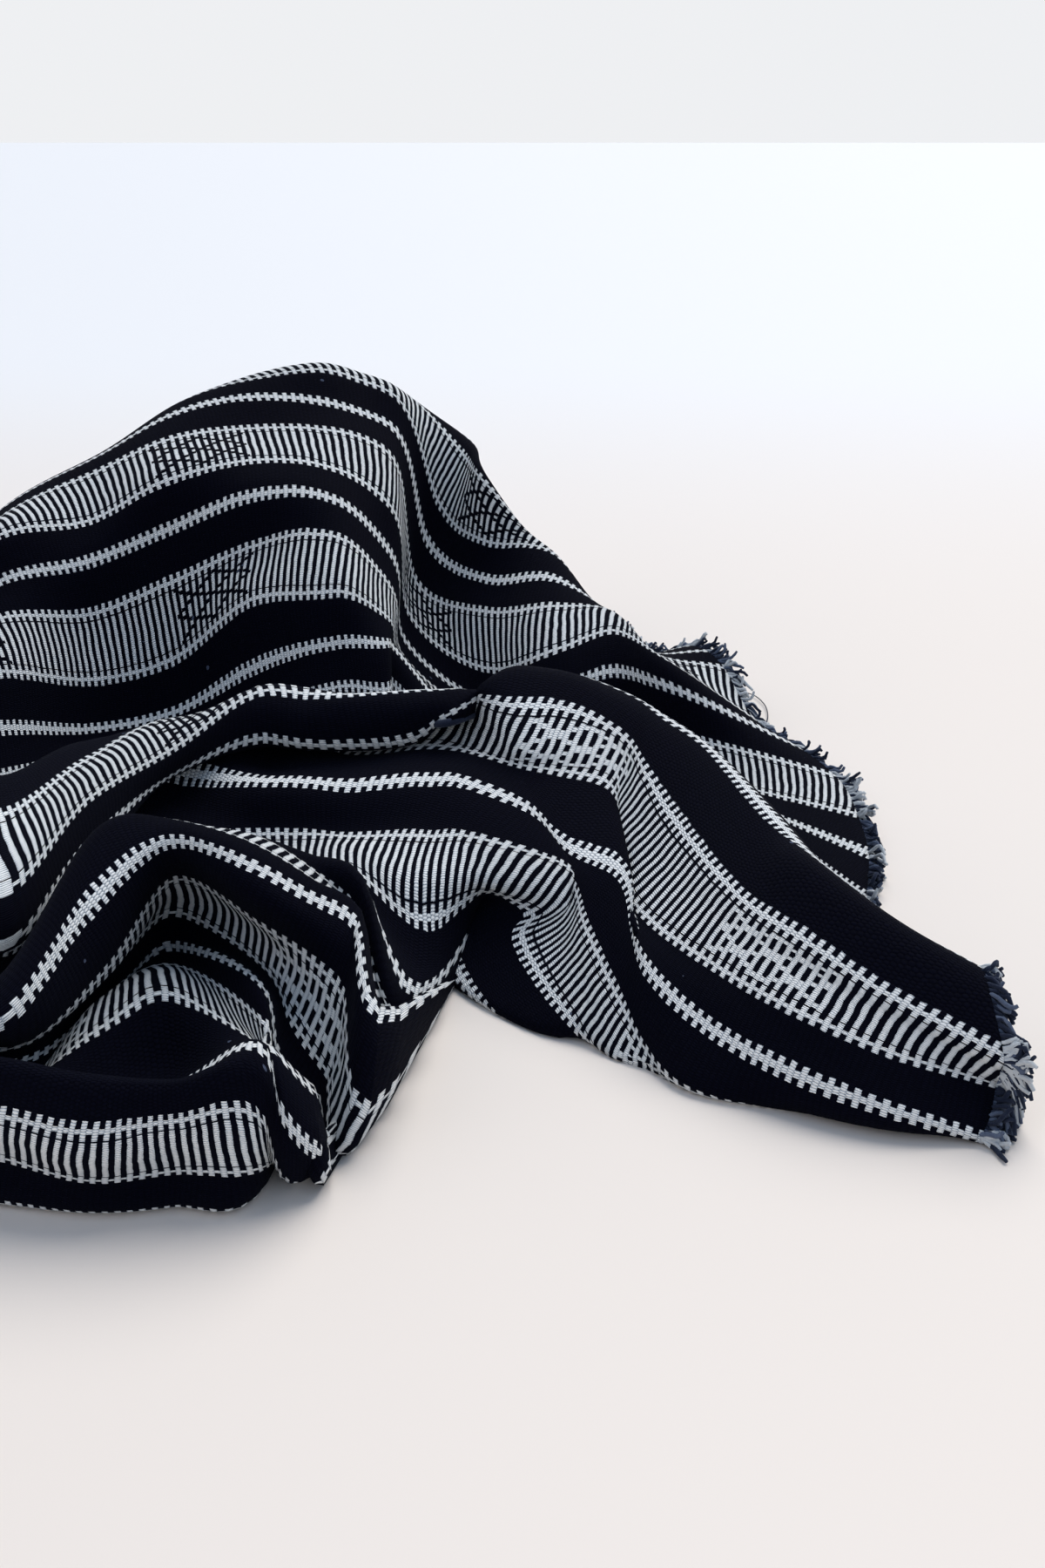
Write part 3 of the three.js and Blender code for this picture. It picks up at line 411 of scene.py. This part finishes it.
        [0, 94, 371, 16], [6, 93, 368, 25], [15, 89, 360, 34], [24, 85, 350, 37], [31, 83, 338, 29],
        [46, 82, 331, 23], [62, 81, 323, 16], [70, 80, 319, 12], [78, 80, 315, 8], [84, 80, 314, 4],
        [92, 81, 317, 1], [140, 85, 332, 1], [200, 89, 346, 1], [250, 91, 356, 1], [262, 92, 359, 4],
        [274, 91, 356, 7], [340, 88, 342, 6], [408, 85, 330, 6]]],
    ["tail end", 1000, [
        [0, 113, 353, 13], [6, 112, 351, 20], [15, 110, 343, 27], [24, 109, 332, 28], [31, 110, 321, 20],
        [46, 110, 319, 14], [62, 109, 319, 9], [70, 107, 314, 5], [78, 104, 310, 2], [86, 104, 313, 1],
        [94, 104, 317, 1], [140, 106, 327, 1], [200, 107, 337, 1], [250, 108, 345, 1], [262, 108, 347, 4],
        [274, 108, 345, 6], [340, 107, 335, 5], [408, 106, 325, 5]]],
]

AT = {"name": 0, "along": 1, "bends": 2}
ROW = {"across": 0, "x": 1, "y": 2, "z": 3}


# The lie of the cloth
def smooth_curve(stops, values, at):
    """Values at the wanted places of a smooth curve through the stops; values may be rows of numbers."""
    stops = np.asarray(stops, float)
    values = np.asarray(values, float)
    spans = np.diff(stops)
    shape = (-1,) + (1,) * (values.ndim - 1)
    rises = np.diff(values, axis=0) / spans.reshape(shape)
    before = spans[:-1].reshape(shape)
    after = spans[1:].reshape(shape)
    inner = (rises[:-1] * after + rises[1:] * before) / (before + after)
    slopes = np.concatenate([rises[:1], inner, rises[-1:]])
    i = np.clip(np.searchsorted(stops, at, side="right") - 1, 0, len(spans) - 1)
    span = spans[i].reshape(shape)
    t = ((at - stops[i]) / spans[i]).reshape(shape)
    start = (2 * t**3 - 3 * t**2 + 1) * values[i] + (t**3 - 2 * t**2 + t) * span * slopes[i]
    end = (3 * t**2 - 2 * t**3) * values[i + 1] + (t**3 - t**2) * span * slopes[i + 1]
    return start + end


def gathers(along, across):
    """Height of the standing folds, for each place along and each across."""
    rise = np.clip((along - GATHERS_RISE[0]) / (GATHERS_RISE[1] - GATHERS_RISE[0]), 0, 1)
    fall = np.clip((GATHERS_FALL[1] - along) / (GATHERS_FALL[1] - GATHERS_FALL[0]), 0, 1)
    share = np.minimum(rise, fall)
    share = share * share * (3 - 2 * share)
    return GATHER_HEIGHT * share[:, None] * np.sin(math.pi * across / GATHER_PITCH)[None, :] ** 2


def lie_of_cloth(along, across):
    """Points of the cloth's middle surface, in metres, in the model's frame."""
    stations = [section[AT["along"]] for section in SECTIONS]
    profiles = []
    for section in SECTIONS:
        bends = np.array(section[AT["bends"]], float)
        profiles.append(smooth_curve(bends[:, ROW["across"]], bends[:, ROW["x"]:], across))
    points = smooth_curve(stations, profiles, along)
    points[..., 0] -= MIDDLE[0]
    points[..., 1] -= MIDDLE[1]
    points[..., 2] = np.maximum(points[..., 2], REST_HEIGHT) + gathers(along, across)
    return points * MM


# Shader maths
class Number:
    """One number of a finish, with Python's own operators."""

    def __init__(self, finish, socket):
        self.finish = finish
        self.socket = socket

    def __add__(self, other):
        return self.finish.math("ADD", self, other)

    def __sub__(self, other):
        return self.finish.math("SUBTRACT", self, other)

    def __rsub__(self, other):
        return self.finish.math("SUBTRACT", other, self)

    def __mul__(self, other):
        return self.finish.math("MULTIPLY", self, other)

    def __truediv__(self, other):
        return self.finish.math("DIVIDE", self, other)

    def __mod__(self, other):
        return self.finish.math("FLOORED_MODULO", self, other)

    def __pow__(self, other):
        return self.finish.math("POWER", self, other)

    def __lt__(self, other):
        return self.finish.math("LESS_THAN", self, other)

    def __gt__(self, other):
        return self.finish.math("GREATER_THAN", self, other)

    def __and__(self, other):
        return self.finish.math("MINIMUM", self, other)

    def __or__(self, other):
        return self.finish.math("MAXIMUM", self, other)

    def __abs__(self):
        return self.finish.math("ABSOLUTE", self)

    def __floor__(self):
        return self.finish.math("FLOOR", self)

    def __round__(self):
        return self.finish.math("ROUND", self)

    __radd__ = __add__
    __rmul__ = __mul__


class Finish:
    """A material in the making, whose nodes all come from one method."""

    def __init__(self, name):
        self.material = bpy.data.materials.new(name)
        self.material.use_nodes = True
        self.tree = self.material.node_tree
        self.tree.nodes.clear()

    def node(self, kind, settings, sockets):
        made = self.tree.nodes.new(kind)
        for name, value in settings.items():
            setattr(made, name, value)
        for name, value in sockets.items():
            if isinstance(value, Number):
                value = value.socket
            if isinstance(value, bpy.types.NodeSocket):
                self.tree.links.new(value, made.inputs[name])
            else:
                made.inputs[name].default_value = value
        return made

    def math(self, operation, *values):
        made = self.node("ShaderNodeMath", {"operation": operation}, dict(enumerate(values)))
        return Number(self, made.outputs[0])

    def vector(self, x, y, z=0.0):
        return self.node("ShaderNodeCombineXYZ", {}, {0: x, 1: y, 2: z}).outputs[0]

    def noise(self, place, scale, detail):
        sockets = {"Vector": place, "Scale": scale, "Detail": detail}
        made = self.node("ShaderNodeTexNoise", {"noise_dimensions": "3D"}, sockets)
        return Number(self, made.outputs[0])

    def dice(self, place):
        made = self.node("ShaderNodeTexWhiteNoise", {"noise_dimensions": "3D"}, {"Vector": place})
        return Number(self, made.outputs["Value"])

    def mix(self, share, first, second):
        settings = {"data_type": "RGBA"}
        return self.node("ShaderNodeMix", settings, {0: share, 6: first, 7: second}).outputs[2]

    def bump(self, height, distance, strength):
        sockets = {"Height": height, "Distance": distance, "Strength": strength}
        return self.node("ShaderNodeBump", {}, sockets).outputs[0]

    def cotton(self, colour, normal, sheen=0.01):
        """The surface itself, dull and slightly fuzzy."""
        surface = self.node("ShaderNodeBsdfPrincipled", {}, {
            "Base Color": colour,
            "Roughness": 0.92,
            "Specular IOR Level": 0.03,
            "Sheen Weight": sheen,
            "Sheen Roughness": 0.5,
            "Sheen Tint": (0.62, 0.72, 0.9, 1.0),
            "Normal": normal,
        })
        self.node("ShaderNodeOutputMaterial", {}, {"Surface": surface.outputs[0]})
        return self.material


# Yarn colours, from the painted shade of a groove to the painted highlight of a float's crown; the pale navy
# is also the colour of worn yarn
NAVY = (0.0014, 0.0015, 0.0046, 1.0)
# Partly worn yarn and partly a painted highlight on the crowns of navy floats
NAVY_WORN_AND_HIGHLIT = (0.0034, 0.0038, 0.0105, 1.0)
WHITE = (0.95, 0.96, 0.95, 1.0)
# Painted shade in the grooves between white floats
WHITE_PAINTED_SHADE = (0.19, 0.24, 0.30, 1.0)
LINT = (0.09, 0.11, 0.17, 1.0)


def weave(name, motif_is_white):
    """Striped warp-faced cotton, as one side of the cloth shows it."""
    finish = Finish(name)
    place = finish.node("ShaderNodeUVMap", {"uv_map": "cloth"}, {}).outputs[0]
    parts = finish.node("ShaderNodeSeparateXYZ", {}, {0: place})
    motif = finish.node("ShaderNodeUVMap", {"uv_map": "motif"}, {}).outputs[0]
    past_motif = finish.node("ShaderNodeSeparateXYZ", {}, {0: motif}).outputs[0]
    from_motif = abs(Number(finish, past_motif) * MM_PER_METRE)
    true_along = Number(finish, parts.outputs[0]) * MM_PER_METRE
    true_across = Number(finish, parts.outputs[1]) * MM_PER_METRE

    # The rows and threads wander a little
    drift = finish.noise(place, DRIFT["scale"], 2.0) - 0.5
    sway = finish.noise(place, SWAY["scale"], 1.0) - 0.5
    fray = finish.noise(place, FRAY["scale"], 1.0) - 0.5
    along = true_along + drift * DRIFT["along"] + fray * FRAY["along"]
    across = true_across + sway * SWAY["across"] + fray * FRAY["across"]

    # One float of the warp, a small oval standing proud of its neighbours
    picks = along / PICK
    pick = math.floor(picks)
    white_pick = 1 - pick % 2
    threads = across / FLOAT_WIDTH + white_pick * 0.5
    thread = math.floor(threads)
    off_pick = (picks - pick) * 2 - 1
    off_thread = (threads - thread) * 2 - 1
    float_height = (1 - off_pick**2 * 0.7 - off_thread**2) | 0.0
    crown = float_height**0.7

    # Stripes: thin ticked lines, and wide bands of ladder between ticked edges
    from_line = finish.math("PINGPONG", across - LINE_AT, STRIPE_PITCH / 2)
    from_band = STRIPE_PITCH / 2 - from_line
    solid = (from_line < LINE_SOLID) | ((from_band > SOLID_FROM) & (from_band < SOLID_TO))
    ladder = from_band < LADDER
    ticked = (from_line < LINE_TICKS) | ladder | ((from_band > INNER_TICKS) & (from_band < OUTER_TICKS))
    striped = solid | (ticked & white_pick)

    # Crossed motifs, stepped pick by pick
    step = round(from_motif / PICK) * MOTIF_STEP
    cross = abs(from_band - step) < MOTIF_LINE
    lozenge = abs(from_band + step - LOZENGE_STEPS * MOTIF_STEP) < MOTIF_LINE
    figure = (cross | lozenge) & ladder & (from_motif < MOTIF_HALF)
    if motif_is_white:
        white = striped | figure
    else:
        white = striped & (1 - figure)

    # Yarn: each float is a little lighter or darker, and worn where the cloth rubs; the lighter colour is
    # kept to each float's crown, which makes it partly a painted highlight, and the grooves between floats
    # keep the darkest navy as painted shade
    each = finish.dice(finish.vector(thread, pick))
    worn = finish.noise(place, WEAR["scale"], 4.0)
    slub = finish.noise(finish.vector(true_along / SLUB["length"], true_across * SLUB["per_mm"]), 1.0, 2.0)
    lint_at = finish.node("ShaderNodeTexVoronoi", {}, {"Vector": place, "Scale": SPECKS["scale"]})
    lint = (Number(finish, lint_at.outputs["Distance"]) < SPECKS["size"]) & (worn > WEAR["specks_above"])
    # Painted highlight: the navy lightens towards each float's crown, on top of its random wear and tone
    navy = finish.mix((each * 0.4 + slub * 0.5 + worn * 0.3) * crown, NAVY, NAVY_WORN_AND_HIGHLIT)
    navy = finish.mix(lint * 0.8, navy, LINT)
    # Painted highlight and painted shade: white floats are lightest at the crown and darken into the grooves
    # between them
    light = (crown * 1.3 + each * 0.2 + 0.05) & 1.0
    cream = finish.mix(light, WHITE_PAINTED_SHADE, WHITE)
    colour = finish.mix(white, navy, cream)

    # Floats stand highest where they are white, under a fuzz of fibres
    fuzz = finish.noise(place, FUZZ["scale"], 2.0)
    raised = crown * (white * 0.35 + 0.65) + fuzz * FUZZ["height"] + slub * SLUB["height"]
    normal = finish.bump(raised, FLOAT_HEIGHT, 0.75)
    return finish.cotton(colour, normal)


def yarn(name, dark, pale):
    """Loose cotton thread, uneven in colour and fuzzy."""
    finish = Finish(name)
    place = finish.node("ShaderNodeTexCoord", {}, {}).outputs["Object"]
    patches = finish.noise(place, 700.0, 3.0)
    strands = finish.noise(place, 3800.0, 2.0)
    colour = finish.mix(patches * 0.7 + strands * 0.3, dark, pale)
    normal = finish.bump(strands + patches, 0.0003, 0.8)
    return finish.cotton(colour, normal, 0.15)


def new_piece(name, mesh):
    """A piece that rides on the body, with its place in its mesh."""
    piece = bpy.data.objects.new(name, mesh)
    bpy.context.scene.collection.objects.link(piece)
    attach(piece, "root")
    return piece


# The cloth, one sheet from the cut rear end to the cut front end
def nearest_motif(along, across):
    """Distance along from the nearest motif in the band at that place, in millimetres."""
    band = min(max(round((across - BAND_AT) / STRIPE_PITCH) + 1, 1), len(MOTIFS_AT))
    centre = min(MOTIFS_AT[band], key=lambda place: abs(place - along))
    return along - (round(centre / PICK / 2) * 2 + 0.5) * PICK


def even_waves(count):
    """The cosine waves over that many places, and how strongly neighbours differ in each."""
    order = np.arange(count)
    waves = np.cos(math.pi * order[:, None] * (order[None, :] + 0.5) / count)
    waves /= np.linalg.norm(waves, axis=1)[:, None]
    return waves, 2 - 2 * np.cos(math.pi * order / count)


def spread_weave(points):
    """Place along in the weave at each point, in millimetres, so that the bars keep their true
    spacing along the threads and lie square to them, as nearly as the folds allow."""
    steps = np.diff(points, axis=0) / MM
    lengths = np.linalg.norm(steps, axis=2)
    lengths = np.minimum(lengths, MOST_STRETCH * CLOTH_LENGTH / CELLS_ALONG)
    threads = np.gradient(points, axis=0)
    threads = threads[:, 1:] + threads[:, :-1]
    threads /= np.linalg.norm(threads, axis=2)[..., None]
    slides = (threads * np.diff(points, axis=1)).sum(axis=2) / MM
    widest = MOST_STRETCH * CLOTH_WIDTH / CELLS_ACROSS
    slides = np.clip(slides, -widest, widest)
    pull = np.zeros(points.shape[:2])
    pull[1:] += lengths
    pull[:-1] -= lengths
    pull[:, 1:] += SQUARENESS * slides
    pull[:, :-1] -= SQUARENESS * slides
    waves_along, bends_along = even_waves(points.shape[0])
    waves_across, bends_across = even_waves(points.shape[1])
    stiffness = bends_along[:, None] + SQUARENESS * bends_across[None, :]
    stiffness[0, 0] = 1
    woven = waves_along.T @ ((waves_along @ pull @ waves_across.T) / stiffness) @ waves_across
    return woven - woven[0].mean()


def make_cloth():
    """The sheet, with its place in the weave kept as UV maps, thickened to two differing faces."""
    along = np.linspace(0, CLOTH_LENGTH, CELLS_ALONG + 1)
    across = np.linspace(0, CLOTH_WIDTH, CELLS_ACROSS + 1)
    points = lie_of_cloth(along, across)
    woven = spread_weave(points)
    sheet = bmesh.new()
    bmesh.ops.create_grid(sheet, x_segments=CELLS_ALONG, y_segments=CELLS_ACROSS, size=0.5)
    mapped = sheet.loops.layers.uv.new("cloth")
    motifs = sheet.loops.layers.uv.new("motif")
    cell = {}
    for vertex in sheet.verts:
        i = round((vertex.co.x + 0.5) * CELLS_ALONG)
        j = round((vertex.co.y + 0.5) * CELLS_ACROSS)
        cell[vertex] = (woven[i, j], across[j])
        vertex.co = points[i, j]
    for face in sheet.faces:
        face.smooth = True
        corners = [cell[vertex] for vertex in face.verts]
        middle = [sum(corner[k] for corner in corners) / len(corners) for k in (0, 1)]
        centre = middle[0] - nearest_motif(*middle)
        for loop in face.loops:
            a, c = cell[loop.vert]
            loop[mapped].uv = (a * MM, c * MM)
            loop[motifs].uv = ((a - centre) * MM, 0)
    mesh = bpy.data.meshes.new("cloth_sheet")
    sheet.to_mesh(mesh)
    sheet.free()
    mesh.materials.append(weave("reverse_weave", False))
    mesh.materials.append(weave("face_weave", True))
    piece = new_piece("cloth_sheet", mesh)
    shell = piece.modifiers.new("thickness", "SOLIDIFY")
    shell.thickness = THICKNESS * MM
    shell.offset = 0
    shell.material_offset = 1
    shell.material_offset_rim = 1
    return piece


# Threads: frayed warp ends and rolled selvedges
# Threads: the selvedges, the frayed ends and the loose thread
def make_threads(name, finishes, strands, depth, rounds):
    """Strands are (points, radii, finish number), in metres; depth is the thickness of radius 1."""
    curve = bpy.data.curves.new(name, "CURVE")
    curve.dimensions = "3D"
    curve.bevel_depth = depth
    curve.bevel_resolution = rounds
    curve.use_fill_caps = True
    for finish in finishes:
        curve.materials.append(finish)
    for points, radii, number in strands:
        spline = curve.splines.new("POLY")
        spline.points.add(len(points) - 1)
        for stop, place, radius in zip(spline.points, points, radii):
            stop.co = (*place, 1.0)
            stop.radius = radius
        spline.material_index = number
        spline.use_smooth = True
    shaped = bpy.data.objects.new(name + "_curve", curve)
    mesh = bpy.data.meshes.new_from_object(shaped)
    bpy.data.objects.remove(shaped)
    mesh.name = name
    return new_piece(name, mesh)


def is_white(across):
    """True where a warp thread belongs to a white part of the stripes."""
    from_line = abs((across - LINE_AT + STRIPE_PITCH / 2) % STRIPE_PITCH - STRIPE_PITCH / 2)
    from_band = STRIPE_PITCH / 2 - from_line
    return from_line < LINE_TICKS or from_band < OUTER_TICKS


def frayed_end(end, seed, spacing):
    """Strands of the cut warp along one end of the cloth, in tufts that lean together."""
    chance = random.Random(seed)
    inward = FRAYED_INWARD if end == 0 else CLOTH_LENGTH - FRAYED_INWARD
    last = len(FRAYED) - 1
    strands = []
    place = FRAYED_EDGE
    while place < CLOTH_WIDTH - FRAYED_EDGE:
        at = np.array([place])
        root, inner = (Vector(lie_of_cloth(np.array([float(k)]), at)[0, 0]) for k in (end, inward))
        side = Vector(lie_of_cloth(np.array([float(end)]), at + 1.0)[0, 0]) - root
        outward = (root - inner).normalized()
        sideways = side.normalized()
        tuft = math.sin(place * FINE_TUFTS["turn"] + seed) * FINE_TUFTS["strength"]
        tuft += math.sin(place * WIDE_TUFTS["turn"]) * WIDE_TUFTS["strength"]
        length = chance.uniform(*FRAYED_LENGTH) + 0.0010 * tuft
        lean = (tuft + chance.uniform(-FRAYED_DIFFER, FRAYED_DIFFER)) * FRAYED_LEAN
        droop = chance.uniform(*FRAYED_DROOP)
        lift = chance.uniform(*FRAYED_LIFT)
        curl = chance.uniform(*FRAYED_CURL)
        turn = chance.uniform(0, 2 * math.pi)
        points = []
        for k in range(len(FRAYED)):
            far = k / last
            s = length * far
            bend = curl * far
            spot = root - outward * 0.001 + outward * (s * (1 - 0.25 * far))
            spot += sideways * (lean * s * far + bend * math.cos(turn + far * 5))
            spot.z += (lift - droop * far) * s + bend * math.sin(turn + far * 5)
            spot.z = max(spot.z, FRAYED_LOWEST)
            points.append(spot)
        if is_white(place) and chance.random() < FRAYED_WHITE:
            finish = YARN["white"]
        elif chance.random() < FRAYED_FADED:
            finish = YARN["faded"]
        else:
            finish = YARN["navy"]
        strands.append((points, FRAYED, finish))
        place += spacing * chance.uniform(0.7, 1.3)
    return strands


def loose_thread():
    """One warp thread that has come away from the rear end and lies in a wide curl beside it."""
    points = smooth_curve(
        [row[0] for row in LOOSE_THREAD],
        [row[1:] for row in LOOSE_THREAD],
        np.linspace(0, LOOSE_THREAD[-1][0], 40),
    )
    return [Vector(p) * MM for p in points], [LOOSE_RADIUS] * len(points), YARN["navy"]


def rolled_edge(across):
    """The slightly uneven rim along one selvedge."""
    along = np.linspace(0, CLOTH_LENGTH, 401)
    line = lie_of_cloth(along, np.array([float(across)]))[:, 0]
    line[:, 2] = np.maximum(line[:, 2], RIM_LOWEST)
    radii = [1 + 0.08 * math.sin(k * 0.37) + 0.06 * math.sin(k * 1.1) for k in range(len(line))]
    return [Vector(p) for p in line], radii, YARN["navy"]


def make_floor():
    """A plain pale floor, a little warmer near the cloth than far behind it, where it turns paler and cooler
    as painted light.
    """
    board = bmesh.new()
    bmesh.ops.create_grid(board, x_segments=2, y_segments=2, size=FLOOR_HALF)
    mesh = bpy.data.meshes.new("floor")
    board.to_mesh(mesh)
    board.free()
    finish = Finish("floor_paint")
    place = finish.node("ShaderNodeTexCoord", {}, {}).outputs["Object"]
    grain = finish.noise(place, 1.2, 2.0)
    away = Number(finish, finish.node("ShaderNodeSeparateXYZ", {}, {0: place}).outputs[1])
    settings = {"interpolation_type": "SMOOTHERSTEP"}
    span = {0: away, 1: 0.0, 2: FLOOR_FADES_BY, 3: 0.0, 4: 1.0}
    # Painted light: the floor turns paler and cooler with distance from the cloth
    far = finish.node("ShaderNodeMapRange", settings, span).outputs[0]
    near = finish.mix(grain, FLOOR_NEAR, FLOOR_NEAR_PALE)
    colour = finish.mix(far, near, FLOOR_FAR_PAINTED_LIGHT)
    surface = finish.node("ShaderNodeBsdfPrincipled", {}, {"Base Color": colour, "Roughness": 0.6})
    finish.node("ShaderNodeOutputMaterial", {}, {"Surface": surface.outputs[0]})
    mesh.materials.append(finish.material)
    floor = bpy.data.objects.new("floor", mesh)
    bpy.context.scene.collection.objects.link(floor)
    floor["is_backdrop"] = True
    return floor


# Camera, at the photograph's place
lens = bpy.data.cameras.new("camera")
lens.lens = FOCAL_LENGTH
camera = bpy.data.objects.new("camera", lens)
camera.location = CAMERA_AT
camera.rotation_euler = (math.radians(90 - CAMERA_DOWN), 0, 0)
bpy.context.scene.collection.objects.link(camera)
bpy.context.scene.camera = camera

floor = make_floor()
cloth = make_cloth()
yarns = [yarn(name + "_yarn", dark, pale) for name, (dark, pale) in YARN_COLOURS.items()]
rims = [rolled_edge(0), rolled_edge(CLOTH_WIDTH)]
rear_threads = frayed_end(0, 3, REAR_SPACING) + [loose_thread()]
front_threads = frayed_end(CLOTH_LENGTH, 8, FRONT_SPACING)
selvedges = make_threads("selvedges", yarns[:1], rims, RIM_RADIUS, 2)
rear_fringe = make_threads("rear_fringe", yarns, rear_threads, FRAYED_RADIUS, 1)
front_fringe = make_threads("front_fringe", yarns, front_threads, FRAYED_RADIUS, 1)

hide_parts("cloth")
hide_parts("fringe_rear")
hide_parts("fringe_front")
CLOTH_WIDTH * MM
CLOTH_LENGTH * MM

# Light: a soft sun from behind on the right, a warm glow from the left,
# and a blue sky that is bright near the horizon
def make_sun(name, azimuth, height, softness, strength, colour):
    """A sun at that azimuth, from +Y towards +X, and height above the horizon, in degrees."""
    lamp = bpy.data.lights.new(name, "SUN")
    lamp.angle = math.radians(softness)
    lamp.energy = strength
    lamp.color = colour
    holder = bpy.data.objects.new(name, lamp)
    holder.rotation_euler = (math.radians(90 - height), 0, math.radians(180 - azimuth))
    bpy.context.scene.collection.objects.link(holder)


make_sun("window_light", 25, 52, 50, 2.4, (1.0, 0.95, 0.88))
make_sun("warm_glow", -110, 22, 60, 0.36, (1.0, 0.78, 0.56))
world = bpy.data.worlds.new("studio")
world.use_nodes = True
sky = world.node_tree
place = sky.nodes.new("ShaderNodeTexCoord").outputs["Generated"]
height = sky.nodes.new("ShaderNodeSeparateXYZ")
sky.links.new(place, height.inputs[0])
ramp = sky.nodes.new("ShaderNodeValToRGB")
sky.links.new(height.outputs["Z"], ramp.inputs[0])
for stop, position, colour in zip(ramp.color_ramp.elements, SKY_CHANGES, (SKY_LOW, SKY_HIGH)):
    stop.position = position
    stop.color = colour
sky.links.new(ramp.outputs["Color"], sky.nodes["Background"].inputs["Color"])
bpy.context.scene.world = world
bpy.context.scene.view_settings.view_transform = "Standard"

seen_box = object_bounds()
[[list(corner) for corner in box] for box in (packed_box, seen_box)]
